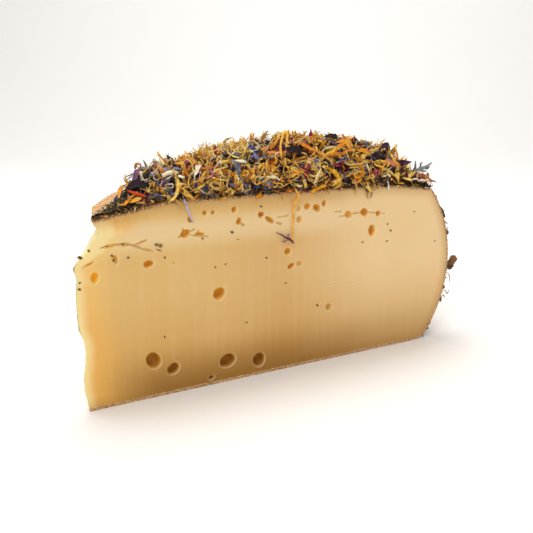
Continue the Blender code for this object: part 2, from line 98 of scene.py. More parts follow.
BACK_EYES = (
    (30, 52, 3.4, 3.0, 15, 1.8), (44, 20, 5.4, 4.8, 30, 3.0), (58, 61, 3.2, 2.4, -20, 1.4),
    (66, 34, 4.2, 4.6, 10, 2.4), (83, 12, 5.8, 5.0, -15, 3.0), (92, 63, 3.0, 2.6, 0, 1.4),
    (99, 47, 3.2, 2.8, 20, 1.8), (112, 26, 4.6, 4.0, 0, 2.4), (121, 60, 3.6, 3.0, -10, 1.6),
    (134, 41, 2.8, 3.4, 10, 1.6), (75, 57, 2.4, 2.2, 0, 1.2), (128, 14, 3.2, 2.8, 0, 1.8),
)
# Slits: both ends, width and depth
FRONT_SLITS = (
    (9.6, 58.0, 16.4, 58.6, 1.0, 0.8), (15.0, 58.6, 20.4, 57.9, 1.1, 0.9),
    (19.4, 58.1, 23.0, 56.6, 0.8, 0.7),
    (21.4, 57.1, 28.0, 54.6, 0.7, 0.6), (20.2, 57.5, 25.6, 58.9, 0.9, 0.7),
    (104.0, 60.4, 110.6, 60.9, 0.6, 0.5),
    (103.0, 62.9, 108.0, 62.5, 0.6, 0.5), (110.6, 61.1, 118.0, 61.4, 0.8, 0.6),
    (119.4, 61.3, 129.5, 59.8, 0.7, 0.6),
    (76.6, 60.9, 79.4, 59.6, 0.9, 0.7), (77.5, 62.7, 83.4, 63.0, 0.6, 0.5),
    (72.0, 63.2, 74.6, 61.6, 1.1, 1.0),
    (36.4, 58.6, 43.6, 61.2, 0.7, 0.7), (41.0, 59.4, 48.6, 58.0, 0.9, 0.8),
    (38.6, 62.0, 40.6, 58.4, 0.6, 0.7),
    (44.4, 60.9, 46.4, 57.4, 0.6, 0.7), (94.0, 33.1, 118.0, 31.9, 0.7, 0.1),
    (3.2, 52.0, 7.0, 53.4, 0.8, 0.7),
)
BACK_SLITS = ((34, 58, 47, 60, 0.9, 1.4), (104, 61, 116, 60, 0.7, 1.2))

# The heap's height over the cheese: at a distance out, near the front cut, in the middle, near the
# back cut. Near the tip the distance is that of a line parallel to the break, and past the fade it is
# the reach from the wheel's axis.
HEAP_LINE_FADE = (22, 60)
HEAP_CREST = np.array([
    (8, 2.8, 2.0, 1.5), (16, 4.2, 3.2, 2.4), (22, 8.6, 6.5, 4.0), (30, 11.4, 10.4, 7.0),
    (50, 12.0, 10.0, 8.5), (70, 15.0, 11.5, 8.4), (90, 19.4, 14.4, 8.8),
    (105, 20.0, 16.4, 9.2), (120, 17.8, 17.6, 10.4), (140, 14.8, 16.4, 11.0), (156, 12.0, 13.0, 10.6),
    (160, 12.0, 12.0, 10.0),
])
HEAP_GAP = 0.3
HEAP_START = 9.5
HEAP_EDGE_HEIGHT = 1.5
HEAP_EDGE_INSET = 0.6
# The strip along the back cut that the heap leaves bare near the tip, and the reaches over which it ends
BARE_STRIP = 7.0
BARE_STRIP_FADE = (60, 100)
HEAP_FRONT_SLOPE = (8.0, 14.0)
HEAP_BACK_SLOPE = (9.0, 24.0)
HEAP_HEEL_SLOPE = 17.0
HEAP_CORE_SHARE = 0.86
PETAL_START = 22.0
# The looks only: how much of the heap's height its dark inside has, the step over which its slope is
# taken, the height above which a loose piece is left out, and how far in front of the face one may hang
DARK_CORE_SHARE = 0.64
SLOPE_STEP = 1.5
HIGHEST_PETAL = 93.4
FURTHEST_FRONT = -4.5
# Larger pieces that the solids have too
PROUD_PETALS = 180
RIND_FLAKES = 50
# From this width on, in millimetres, a broad one of them is dark and not rose
DARK_WIDTH = 3.3

# The camera, as fitted to the photograph's outline of the wedge
CAMERA_PLACE = (-133.706, -253.242, 104.74)
CAMERA_YAW = math.radians(28.564)
CAMERA_DIP = math.radians(14.328)
CAMERA_LENS = 43.227

# Forms worked out as whole arrays


def smooth(start, end, value):
    """0 before start, 1 after end, and the S-curve 3t^2 - 2t^3 between them."""
    share = np.clip((value - start) / (end - start), 0, 1)
    return share * share * (3 - 2 * share)


def noise(places, size, seed=0):
    """Smooth noise from -1 to 1: random numbers at a cubic lattice's corners, blended by S-curves."""
    scaled = places / size
    cell = np.floor(scaled).astype(np.int64)
    share = scaled - cell
    share = share * share * (3 - 2 * share)
    total = 0
    for corner in itertools.product((0, 1), repeat=3):
        mixed = (((cell + corner) * LATTICE_FACTORS).sum(-1) + seed * SEED_FACTOR) & LOW_BITS
        mixed = ((mixed ^ (mixed >> 13)) * MIXING_FACTOR) & LOW_BITS
        value = ((mixed ^ (mixed >> 16)) & 0xFFFF) / 32767.5 - 1
        total = total + value * np.prod(np.where(corner, share, 1 - share), axis=-1)
    return total


def polar(reach, turn, height):
    """Points from a reach from the wheel's axis, a turn from the front cut face and a height."""
    return np.stack(np.broadcast_arrays(reach * np.cos(turn), reach * np.sin(turn), height), -1)


def top_height(reach):
    """The wheel's top: it sags at the centre by an S-curve and rolls off at the shoulder by a power."""
    sag = CENTRE_SAG * (1 - smooth(4, CENTRE_SAG_REACH, reach))
    past = np.clip((reach - SHOULDER_START) / (SHOULDER - SHOULDER_START), 0, None)
    return HEIGHT - sag - SHOULDER_DROP * past**1.7


def rim_reach(height):
    """The bulging rim: an arc that is widest at half height, with the base's edge drawn in below it."""
    rim_top = HEIGHT - SHOULDER_DROP
    half = (rim_top - BASE_EDGE_RISE) / 2
    arc_radius = (half**2 + RIM_BULGE**2) / (2 * RIM_BULGE)
    from_middle = np.clip(height - BASE_EDGE_RISE - half, -half, half)
    arc = RIM_RADIUS - arc_radius + np.sqrt(arc_radius**2 - from_middle**2)
    edge = np.interp(height, (0, 0.3, BASE_EDGE_RISE), (BASE_FLAT_RADIUS, 151.5, SHOULDER))
    return np.where(height < BASE_EDGE_RISE, edge, arc)


def break_reach(turn, height):
    """The broken tip: its outline in the front face, carried back along a line that leans from square.

    A ray from the axis meets that surface at outline / (cos turn - tan lean * sin turn).
    """
    outline = TIP_START + np.interp(height, BREAK_OUTLINE[:, 0], BREAK_OUTLINE[:, 1])
    reach = outline / (np.cos(turn) - math.tan(BREAK_LEAN) * np.sin(turn))
    places = polar(reach, turn, height)
    inside = smooth(0, 4, reach * np.sin(turn))
    rough = 0.8 + 0.5 * noise(places, 3.4, 5) + 0.35 * noise(places, 1.5, 6)
    return reach + 0.14 * noise(places, 0.9, 3) + inside * rough


def line_reach(out, turn):
    """Reach of a line on the top that is parallel to the break, at a distance out along the front cut."""
    return out / (np.cos(turn) - math.tan(BREAK_LEAN) * np.sin(turn))


def bare_strip(reach):
    """Width of the bare strip along the back cut, which ends in an S-curve."""
    return BARE_STRIP * (1 - smooth(*BARE_STRIP_FADE, reach))


def distance_out(reach, turn):
    """Where a place is in the crest's table: the distance of its line, and past the fade its reach."""
    out = reach / line_reach(1, turn)
    return out + (reach - out) * smooth(*HEAP_LINE_FADE, out)


def heap_height(reach, turn):
    """The heap: the crest's table, times a quarter sine up from each cut and from the heel."""
    out = distance_out(reach, turn)
    front, middle, back = (np.interp(out, HEAP_CREST[:, 0], HEAP_CREST[:, column]) for column in (1, 2, 3))
    across = turn / WEDGE_ANGLE
    inner = front + (middle - front) * smooth(0.15, 0.55, across)
    inner = inner + (back - middle) * smooth(0.45, 0.9, across)
    widening = smooth(20, 75, reach)
    rise = 1.0
    for distance, (near, wide) in (
        (reach * np.sin(turn), HEAP_FRONT_SLOPE),
        (reach * np.sin(WEDGE_ANGLE - turn) - bare_strip(reach), HEAP_BACK_SLOPE),
        (SHOULDER - reach, (HEAP_HEEL_SLOPE, HEAP_HEEL_SLOPE)),
    ):
        slope = near + (wide - near) * widening
        rise = rise * np.sin(math.pi / 2 * np.clip(distance / slope, 0, 1))
    return HEAP_EDGE_HEIGHT + (inner - HEAP_EDGE_HEIGHT) * rise


def quads(rows, columns, first=0, around=False):
    """The faces of a grid of points, row by row; around also joins its last column to its first."""
    number = np.arange(rows * columns).reshape(rows, columns) + first
    if around:
        number = np.concatenate((number, number[:, :1]), axis=1)
    return np.stack((number[:-1, :-1], number[:-1, 1:], number[1:, 1:], number[1:, :-1]), -1).reshape(-1, 4)


def make_piece(name, points, faces, marks=None, weld=True):
    """A mesh object from points in millimetres about the wheel's axis, with an attribute for each mark."""
    middle = MIDDLE_REACH * np.array([math.cos(WEDGE_ANGLE / 2), math.sin(WEDGE_ANGLE / 2), 0])
    mesh = bpy.data.meshes.new(name)
    mesh.from_pydata(((points - middle) * MM).tolist(), [], [face.tolist() for face in faces])
    for mark, values in (marks or {}).items():
        attribute = mesh.attributes.new(mark, "FLOAT", "POINT")
        attribute.data.foreach_set("value", np.ascontiguousarray(values, dtype=np.float32))
    if weld:
        form = bmesh.new()
        form.from_mesh(mesh)
        bmesh.ops.remove_doubles(form, verts=form.verts[:], dist=WELD_DISTANCE)
        form.normal_update()
        bmesh.ops.recalc_face_normals(form, faces=form.faces[:])
        form.to_mesh(mesh)
        form.free()
    mesh.polygons.foreach_set("use_smooth", np.ones(len(mesh.polygons), dtype=bool))
    mesh.update()
    piece = bpy.data.objects.new(name, mesh)
    bpy.context.scene.collection.objects.link(piece)
    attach(piece, "root")
    return piece


# The wedge of cheese


def hollows(along, height, eyes, slits):
    """How deep the cut face is hollowed, how far inside a mouth a point is, and the lip round it, painted as a
    highlight.

    An eye is a bowl (1 - d^2.6)^0.55 on the distance d in its tilted ellipse, which waves a little. A
    slit is the half-round (1 - d^2)^0.5 on the distance to a line whose width tapers to its ends.
    """
    depth = np.zeros_like(along)
    inside = np.zeros_like(along)
    lip = np.zeros_like(along)
    for number, (centre, middle, wide, tall, tilt, deep) in enumerate(eyes):
        lean = math.radians(tilt)
        right = (along - centre) * math.cos(lean) + (height - middle) * math.sin(lean)
        up = (height - middle) * math.cos(lean) - (along - centre) * math.sin(lean)
        around = np.arctan2(up, right)
        wave = 1 + 0.025 * np.sin(2 * around + number) + 0.015 * np.sin(3 * around + 2.3 * number)
        distance = np.hypot(right / (wide / 2), up / (tall / 2)) * wave
        depth = np.maximum(depth, deep * np.clip(1 - distance**2.6, 0, 1) ** 0.55)
        inside = np.maximum(inside, (1 - smooth(0.82, 1.04, distance)) * min(1.0, deep / 1.5))
        # The lip's painted highlight is brightest on its lower side, where light catches it
        lower = 0.55 - 0.45 * np.sin(around - 0.5)
        reach = 0.55 / (wide + tall) * 2
        lip = np.maximum(lip, lower * np.exp(-(((distance - 1 - reach) / reach) ** 2)))
    for first, start, last, end, wide, deep in slits:
        run, climb = last - first, end - start
        length = math.hypot(run, climb)
        share = np.clip(((along - first) * run + (height - start) * climb) / length**2, 0, 1)
        taper = np.sqrt(np.clip(1 - (2 * share - 1) ** 2, 0.12, 1))
        half = wide / 2 * taper * (1 + 0.3 * np.sin(9 * share + first))
        distance = np.hypot(along - first - share * run, height - start - share * climb) / half
        depth = np.maximum(depth, deep * np.sqrt(np.clip(1 - distance**2, 0, 1)))
        inside = np.maximum(inside, (1 - smooth(0.5, 1.15, distance)) * (0.6 if deep > 0.3 else 0.15))
        lip = np.maximum(lip, 0.5 * np.exp(-((distance - 1.7) ** 2) / 0.4) * (wide > 0.4))
    return depth, inside, lip * (1 - inside)


def lines_between(first, last, count, spots, fine, coarse):
    """Places from first to last in steps that go from coarse to fine near the spots (middle, half width)."""
    places = np.linspace(first, last, 6000)
    near = np.zeros_like(places)
    for middle, half in spots:
        near = np.maximum(near, 1 - smooth(half, half + 3 * coarse, np.abs(places - middle)))
    steps = np.cumsum(1 / (coarse + (fine - coarse) * near))
    return np.interp(np.linspace(steps[0], steps[-1], count), steps, places)


def cut_face(turn, eyes, slits, counts, fine, coarse):
    """A cut face as a grid: straight lines that bend near the top, the break and the rim to follow them."""
    spots_along = [(eye[0] + TIP_START, eye[2] / 2 + 0.4) for eye in eyes]
    spots_along += [((slit[0] + slit[2]) / 2 + TIP_START, abs(slit[2] - slit[0]) / 2) for slit in slits]
    spots_up = [(eye[1], eye[3] / 2 + 0.4) for eye in eyes]
    spots_up += [((slit[1] + slit[3]) / 2, abs(slit[3] - slit[1]) / 2 + 0.4) for slit in slits]
    spots_up += [(0.6, 0.6)]
    outer = RIM_RADIUS
    inner = float(break_reach(np.float64(turn), np.float64(30.0)))
    lines = lines_between(inner, outer, counts[0], spots_along, fine, coarse)
    rows = lines_between(0, HEIGHT, counts[1], spots_up, fine, coarse)
    nominal_up, nominal = np.meshgrid(rows, lines, indexing="ij")
    along, height = nominal.copy(), nominal_up.copy()
    for _ in range(6):
        height = nominal_up + (top_height(along) - HEIGHT) * smooth(44, HEIGHT, nominal_up)
        to_break = break_reach(np.full_like(height, turn), height) - inner
        left = to_break * (1 - smooth(inner, inner + 60, nominal))
        right = (rim_reach(height) - outer) * smooth(outer - 46, outer, nominal)
        along = nominal + left + right
    depth, inside, lip = hollows(along - TIP_START, height, eyes, slits)
    places = np.stack((along, np.full_like(along, turn), height), -1)
    ripple = 0.08 * noise(places * (1, 0, 0.25), 7, 11) + 0.03 * noise(places * (1, 0, 0.5), 2.2, 12)
    rind = np.minimum(np.minimum(height, top_height(along) - height), rim_reach(height) - along)
    tip = along - break_reach(np.full_like(height, turn), height)
    inwards = depth - 0.10 * lip + ripple * smooth(0, 3, np.minimum(rind, tip))
    inward = np.array([0, 1, 0]) if turn == 0 else np.array([math.sin(turn), -math.cos(turn), 0])
    points = polar(along, turn, height) + inwards[..., None] * inward
    return points, {"hollow": inside, "lip": lip, "rind": rind, "tip": tip, "torn": np.zeros_like(rind)}


def loop_of(grid):
    """The border of a grid: along its top, down its right side, back along its base and up its left."""
    return np.concatenate((grid[-1, :-1], grid[:0:-1, -1], grid[0, :0:-1], grid[:-1, 0]))


def loop_shares(points_along, points_up):
    """How far round the border each of its points lies, with 1 for each side, from the grid's own counts."""
    sides = [np.arange(count - 1) / (count - 1) for count in (points_along, points_up) * 2]
    return np.concatenate([number + side for number, side in enumerate(sides)])


def zip_loops(first, first_shares, second, second_shares):
    """Triangles between two closed loops of point numbers, stepping along whichever is behind."""
    a = np.append(first, first[0])
    b = np.append(second, second[0])
    shares = np.concatenate((np.append(first_shares[1:], 4.0), np.append(second_shares[1:], 4.0)))
    order = np.argsort(shares, kind="stable")
    on_first = order < len(first)
    at_a = np.cumsum(on_first)
    at_b = np.cumsum(~on_first)
    before_a = at_a - on_first
    before_b = at_b - ~on_first
    third = np.where(on_first, a[np.minimum(at_a, len(a) - 1)], b[np.minimum(at_b, len(b) - 1)])
    return np.stack((a[before_a], b[before_b], third), -1)


def ring_of(turn, shares):
    """The wedge's section at a turn, at shares of the way along its top, rim, base and break."""
    side = np.minimum(shares.astype(int), 3)
    part = shares - side
    inner_top = break_reach(np.full_like(part, turn), np.full_like(part, 67.5))
    inner_base = break_reach(np.full_like(part, turn), np.zeros_like(part))
    rim_top = HEIGHT - SHOULDER_DROP
    over = inner_top + (SHOULDER - inner_top) * part
    down = rim_top * (1 - part)
    under = BASE_FLAT_RADIUS + (inner_base - BASE_FLAT_RADIUS) * part
    up = top_height(inner_top) * part
    height = np.select([side == 0, side == 1, side == 2], [top_height(over), down, 0 * part], up)
    broken = break_reach(np.full_like(part, turn), up)
    reach = np.select([side == 0, side == 1, side == 2], [over, rim_reach(down), under], broken)
    places = polar(reach, turn, height)
    fade = smooth(0, 2, height) * smooth(0, 2, rim_top - height) * (side == 1)
    lumps = 0.35 * noise(places, 9, 21) + 0.22 * noise(places, 3, 22)
    edges = smooth(0, 0.05, turn) * smooth(0, 0.05, WEDGE_ANGLE - turn)
    points = polar(reach + lumps * fade * edges, turn, height)
    torn = np.where(side == 3, 1.0, 0.0)
    rind = np.where(side == 3, np.minimum(height, top_height(reach) - height), 0.0)
    tip = reach - break_reach(np.full_like(part, turn), height)
    return points, {"hollow": 0 * part, "lip": 0 * part, "rind": rind, "tip": tip, "torn": torn}


def make_cheese():
    """Both cut faces as grids, and rings of the wedge's section between them, zipped to their borders."""
    front_counts, back_counts, ring_counts, rings = (430, 158), (190, 92), (70, 80), 58
    front, front_marks = cut_face(0.0, FRONT_EYES, FRONT_SLITS, front_counts, 0.29, 1.6)
    back, back_marks = cut_face(WEDGE_ANGLE, BACK_EYES, BACK_SLITS, back_counts, 0.55, 1.6)
    shares = loop_shares(*ring_counts)
    turns = WEDGE_ANGLE * np.arange(1, rings + 1) / (rings + 1)
    sections = [ring_of(turn, shares) for turn in turns]
    ring_points = np.concatenate([points for points, _ in sections])
    points = np.concatenate((front.reshape(-1, 3), back.reshape(-1, 3), ring_points))
    marks = {}
    for mark in front_marks:
        ring_marks = np.concatenate([found[mark] for _, found in sections])
        marks[mark] = np.concatenate((front_marks[mark].ravel(), back_marks[mark].ravel(), ring_marks))
    front_numbers = np.arange(front[..., 0].size).reshape(front.shape[:2])
    back_numbers = np.arange(back[..., 0].size).reshape(back.shape[:2]) + front_numbers.size
    first_ring = front_numbers.size + back_numbers.size
    last_ring = first_ring + (rings - 1) * len(shares)
    ring = np.arange(len(shares))
    faces = [
        *quads(*front.shape[:2]),
        *quads(*back.shape[:2], first=front_numbers.size)[:, ::-1],
        *quads(rings, len(shares), first=first_ring, around=True),
        *zip_loops(loop_of(front_numbers), loop_shares(*front_counts), ring + first_ring, shares),
        *zip_loops(loop_of(back_numbers), loop_shares(*back_counts), ring + last_ring, shares),
    ]
    cheese = make_piece("cheese_wedge", points, faces, marks=marks)
    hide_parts("cheese")
    return cheese


# Frames that pieces lie in, and the pieces themselves


def turned(axis, angles):
    """Rotation matrices about one of the three axes, one for each angle."""
    first, second = ((1, 2), (2, 0), (0, 1))[axis]
    made = np.zeros((len(angles), 3, 3))
    made[:, axis, axis] = 1
    made[:, first, first] = made[:, second, second] = np.cos(angles)
    made[:, second, first] = np.sin(angles)
    made[:, first, second] = -np.sin(angles)
    return made


def axes_from(normal, along):
    """Rotations whose Z is the normal and whose X lies as near along as it can."""
    normal = normal / np.linalg.norm(normal, axis=-1, keepdims=True)
    along = along - normal * (along * normal).sum(-1, keepdims=True)
    along = along / np.linalg.norm(along, axis=-1, keepdims=True)
    return np.stack((along, np.cross(normal, along), normal), -1)


def heap_surface(reach, turn):
    """The surface that the heap's pieces lie on: the top of the solids' core."""
    return polar(reach, turn, top_height(reach) + HEAP_CORE_SHARE * heap_height(reach, turn))


def heap_lumps(reach, turn):
    """Tufts and hollows of the heap, which die away where it is thin."""
    thick = heap_height(reach, turn)
    places = polar(reach, turn, np.zeros_like(reach))
    return (1.5 * noise(places, 8.5, 33) + 1.1 * noise(places, 4.0, 34)) * smooth(2.0, 7.0, thick)


def heap_outwards(reach, turn):
    """A step outwards along the heap's surface."""
    return heap_surface(reach + SLOPE_STEP, turn) - heap_surface(reach - SLOPE_STEP, turn)


def heap_normals(reach, turn):
    """The heap's slope: the cross product of steps outwards and around."""
    step = SLOPE_STEP / reach
    around = heap_surface(reach, turn + step) - heap_surface(reach, turn - step)
    return np.cross(heap_outwards(reach, turn), around)


def on_heap(rng, count, low, high, tilt, zones, edge):
    """Frames on the heap, even over its slopes, lifted by low to high and tilted by up to tilt degrees.

    zones gives how common the piece is at 10, 30, 60, 100 and 150 out from the tip; a piece that isn't
    found at 10 starts behind the line where the heap's thick part rises. edge, from 0 to 1, is the share
    of them that is drawn close to the two cuts. One in twelve stands up steeply. The last array is how
    much of its size each piece has, as they are smaller near the tip.
    """
    tries = count * 12
    turn = rng.uniform(0.01, 0.99, tries) * WEDGE_ANGLE
    start = line_reach(HEAP_START if zones[0] else PETAL_START, turn) + 0.6
    reach = np.sqrt(start**2 + ((SHOULDER - 0.8) ** 2 - start**2) * rng.uniform(0, 1, tries))
    normal = heap_normals(reach, turn)
    weight = np.linalg.norm(normal, axis=-1) / np.maximum(normal[:, 2], 1e-6)
    to_cut = reach * np.sin(np.minimum(turn, WEDGE_ANGLE - turn))
    out = distance_out(reach, turn)
    weight = weight * ((1 - edge) + edge * 12 * np.exp(-to_cut / 3))
    weight = weight * np.interp(out, (10, 30, 60, 100, 150), zones)
    weight = weight * (reach * np.sin(WEDGE_ANGLE - turn) > bare_strip(reach))
    chosen = rng.choice(tries, count, replace=False, p=weight / weight.sum())
    reach, turn, normal, out = reach[chosen], turn[chosen], normal[chosen], out[chosen]
    grown = 0.4 + 0.6 * smooth(16, 36, out)
    base = axes_from(normal, polar(np.ones(count), turn, np.zeros(count)))
    lift = rng.uniform(low, high, count) * grown
    lift = np.where(lift < 0, lift * smooth(2, 9, heap_height(reach, turn)), lift)
    place = heap_surface(reach, turn) + base[:, :, 2] * lift[:, None]
    place[:, 2] += heap_lumps(reach, turn)
    lean = np.radians(tilt) * np.where(rng.random(count) < 1 / 12, 2.2, 1.0) * smooth(8, 26, reach)
    axes = base @ turned(2, rng.uniform(0, 2 * math.pi, count))
    axes = axes @ turned(1, -rng.uniform(-0.35, 1, count) * lean)
    return place, axes @ turned(0, rng.uniform(-0.8, 0.8, count)), grown


def proud_pieces():
    """The larger petals that the solids have too, by the same even rule and draws, as frames and sizes."""
    kinds = (
        (0.56, (9.0, 15.0), (1.5, 2.4)), (0.24, (8.0, 12.0), (2.6, 4.2)), (0.20, (10.0, 16.0), (0.9, 1.2)),
    )
    rng = random.Random(41)
    rows = []
    for number in range(PROUD_PETALS):
        share = number * EVEN_STEPS[1] % 1
        turn = (0.02 + 0.96 * (0.2 * share + 0.8 * (0.5 - 0.5 * math.cos(math.pi * share)))) * WEDGE_ANGLE
        start = float(line_reach(PETAL_START, turn))
        reach = math.sqrt(start**2 + ((SHOULDER - 3) ** 2 - start**2) * (number * EVEN_STEPS[0] % 1))
        turn = min(turn, WEDGE_ANGLE - math.asin(bare_strip(reach) / reach))
        drawn = rng.random()
        kind = 0 if drawn < kinds[0][0] else 1 if drawn < kinds[0][0] + kinds[1][0] else 2
        length, width = rng.uniform(*kinds[kind][1]), rng.uniform(*kinds[kind][2])
        curl = rng.uniform(0.35, 1.0) * rng.choice((-1, 1))
        spin, rise = rng.uniform(0, math.tau), -math.radians(rng.uniform(-5, 26))
        roll, lift, cup = math.radians(rng.uniform(-34, 34)), rng.uniform(0.1, 0.9), rng.uniform(0.0, 0.5)
        rows.append((kind, reach, turn, length, width, curl, spin, rise, roll, lift, cup))
    kind, reach, turn, length, width, curl, spin, rise, roll, lift, cup = np.array(rows).T
    base = axes_from(heap_normals(reach, turn), heap_outwards(reach, turn))
    place = heap_surface(reach, turn) + base[:, :, 2] * lift[:, None]
    axes = base @ turned(2, spin) @ turned(1, rise) @ turned(0, roll)
    return kind.astype(int), place, axes, length, width, curl, cup


def strips(place, axes, length, width, curl, cup, twist, sway, thick, outline, stations, seed, crumple):
    """Thin closed strips, bent along their length: x = L/2c sin(ct), z = L/2c (1 - cos(ct)), t = -1 to 1.

    They also sway sideways by a parabola, 1 - t^2, and wave up and down by sin(pi t). A section is a
    flat diamond whose edges rise by cup and which twists along the strip; outline gives its width along
    the length. A little noise crumples it.
    """
    count = len(place)
    span = np.linspace(-1, 1, stations)
    curl = np.where(np.abs(curl) < 0.05, 0.05, curl)[:, None]
    bend = curl * span
    radius = (length[:, None] / 2) / curl
    aside = (sway * length)[:, None] * (1 - span**2)
    wave = 0.35 * (sway[::-1] * length)[:, None] * np.sin(math.pi * span)
    middle = np.stack((radius * np.sin(bend), aside, radius * (1 - np.cos(bend)) + wave), -1)
    across = np.interp(span, np.linspace(-1, 1, len(outline)), outline) * width[:, None] / 2
    side = np.array([-1.0, 0.0, 1.0, 0.0])
    upper = np.array([0.0, 0.5, 0.0, -0.5])
    local_y = across[:, :, None] * side
    local_z = across[:, :, None] * np.abs(side) * cup[:, None, None] + thick * upper
    angle = (twist[:, None] * span)[:, :, None]
    flat_y = local_y * np.cos(angle) - local_z * np.sin(angle)
    flat_z = local_y * np.sin(angle) + local_z * np.cos(angle)
    points = middle[:, :, None, :] + np.stack(
        (-np.sin(bend)[:, :, None] * flat_z, flat_y, np.cos(bend)[:, :, None] * flat_z), -1
    )
    points = np.einsum("nij,nskj->nski", axes, points) + place[:, None, None, :]
    shift = [noise(points, 2.1, seed + number) for number in range(3)]
    points = points + crumple * np.stack(shift, -1)
    ring = stations * 4
    body = quads(stations, 4, around=True)
    ends = np.array([(3, 2, 1, 0), (ring - 4, ring - 3, ring - 2, ring - 1)])
    faces = (np.concatenate((body, ends))[None] + (np.arange(count) * ring)[:, None, None]).reshape(-1, 4)
    along = np.broadcast_to(((span + 1) / 2)[None, :, None], (count, stations, 4))
    return points.reshape(count, ring, 3), faces, along.reshape(count, ring)


def off_the_cheese(points, lift):
    """Raises what would lie in the cheese to just above its top, and brings in what hangs too far out."""
    reach = np.hypot(points[..., 0], points[..., 1])
    turn = np.arctan2(points[..., 1], points[..., 0])
    slack = 0.2 / np.maximum(reach, 1)
    over = (turn > -slack) & (turn < WEDGE_ANGLE + slack) & (reach < RIM_RADIUS)
    lowest = top_height(np.minimum(reach, SHOULDER)) + lift
    points[..., 2] = np.where(over, np.maximum(points[..., 2], lowest), points[..., 2])
    points[..., 1] = np.maximum(points[..., 1], FURTHEST_FRONT)
    return points


def make_strips(name, slot, replaced, rng, place, axes, length, width, outline, cup, thick, crumple,
                curl=(0.2, 1.2), sway=0.1, stations=8, lift=0.3, over_cheese=True, floor=None, tints=None):
    """One joined piece of strips, each with its own tint and the place along it as attributes.

    curl is either the limits that each strip's bend is drawn from, or an array of all the bends.
    """
    count = len(place)
    bends = rng.uniform(*curl, count) * rng.choice((-1, 1), count) if len(curl) == 2 else curl
    cups, twists = rng.uniform(*cup, count), rng.uniform(-0.6, 0.6, count)
    sways, seed = rng.uniform(-sway, sway, count), int(rng.integers(1000))
    points, faces, along = strips(
        place, axes, length, width, bends, cups, twists, sways, thick, outline, stations, seed, crumple
    )
    if over_cheese:
        points = off_the_cheese(points, lift)
    if floor is not None:
        points[..., 2] = np.maximum(points[..., 2], floor)
    tints = rng.uniform(0, 1, count) if tints is None else tints
    low_enough = points[:, :, 2].max(axis=1) < HIGHEST_PETAL
    points, along, tints = points[low_enough], along[low_enough], tints[low_enough]
    faces = faces.reshape(count, -1, 4)[:len(points)].reshape(-1, 4)
    marks = {"tint": np.repeat(tints, points.shape[1]), "along": along.ravel()}
    piece = make_piece(name, points.reshape(-1, 3), faces, marks=marks, weld=False)
    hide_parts(replaced)
    return piece


def make_heap_core():
    """The heap's inside, dark as painted shade: a closed shell of an upper grid, with the heap's lumps, and a
    lower one.
    """
    rows, columns = 150, 96
    share_out, share_round = np.meshgrid(np.linspace(0, 1, rows), np.linspace(0, 1, columns), indexing="ij")
    start = line_reach(HEAP_START, WEDGE_ANGLE * share_round)
    reach = start + (SHOULDER - HEAP_EDGE_INSET - start) * share_out
    front_margin = np.arcsin(HEAP_EDGE_INSET / reach)
    back_margin = np.arcsin((HEAP_EDGE_INSET + bare_strip(reach)) / reach)
    turn = front_margin + (WEDGE_ANGLE - front_margin - back_margin) * share_round
    low = polar(reach, turn, top_height(reach) + HEAP_GAP)
    thick = heap_height(reach, turn)
    lumps = 1.3 * noise(low, 4.5, 31) + 0.9 * noise(low, 1.9, 32)
    high = low.copy()
    rise = DARK_CORE_SHARE * thick + lumps * smooth(1.5, 5, thick) + heap_lumps(reach, turn)
    high[..., 2] += np.maximum(rise, 0.5)
    points = np.concatenate((high.reshape(-1, 3), low.reshape(-1, 3)))
    number = np.arange(rows * columns).reshape(rows, columns)
    border = loop_of(number)
    after = np.roll(border, -1)
    walls = np.stack((border, after, after + number.size, border + number.size), -1)
    faces = [*quads(rows, columns), *quads(rows, columns, first=number.size)[:, ::-1], *walls]
    core = make_piece("heap_core", points, faces)
    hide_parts("flower_topping")
    return core


# Outlines of the pieces: their width along the length
RIBBON = (0.30, 0.75, 0.95, 1.0, 0.95, 0.85, 0.35)
LEAF = (0.10, 0.55, 0.9, 1.0, 0.8, 0.5, 0.08)
THREAD = (0.6, 1.0, 1.0, 0.9, 0.8, 0.7, 0.3)
FLORET = (0.16, 0.20, 0.28, 0.45, 0.8, 1.0, 0.3)
BUD = (0.4, 0.8, 1.0, 1.0, 0.95, 0.8, 0.4)
STALK = (0.8, 0.9, 1.0, 0.9, 1.0, 0.9, 0.8)
SHIELD = (0.35, 0.7, 0.95, 1.0, 0.95, 0.75, 0.3)

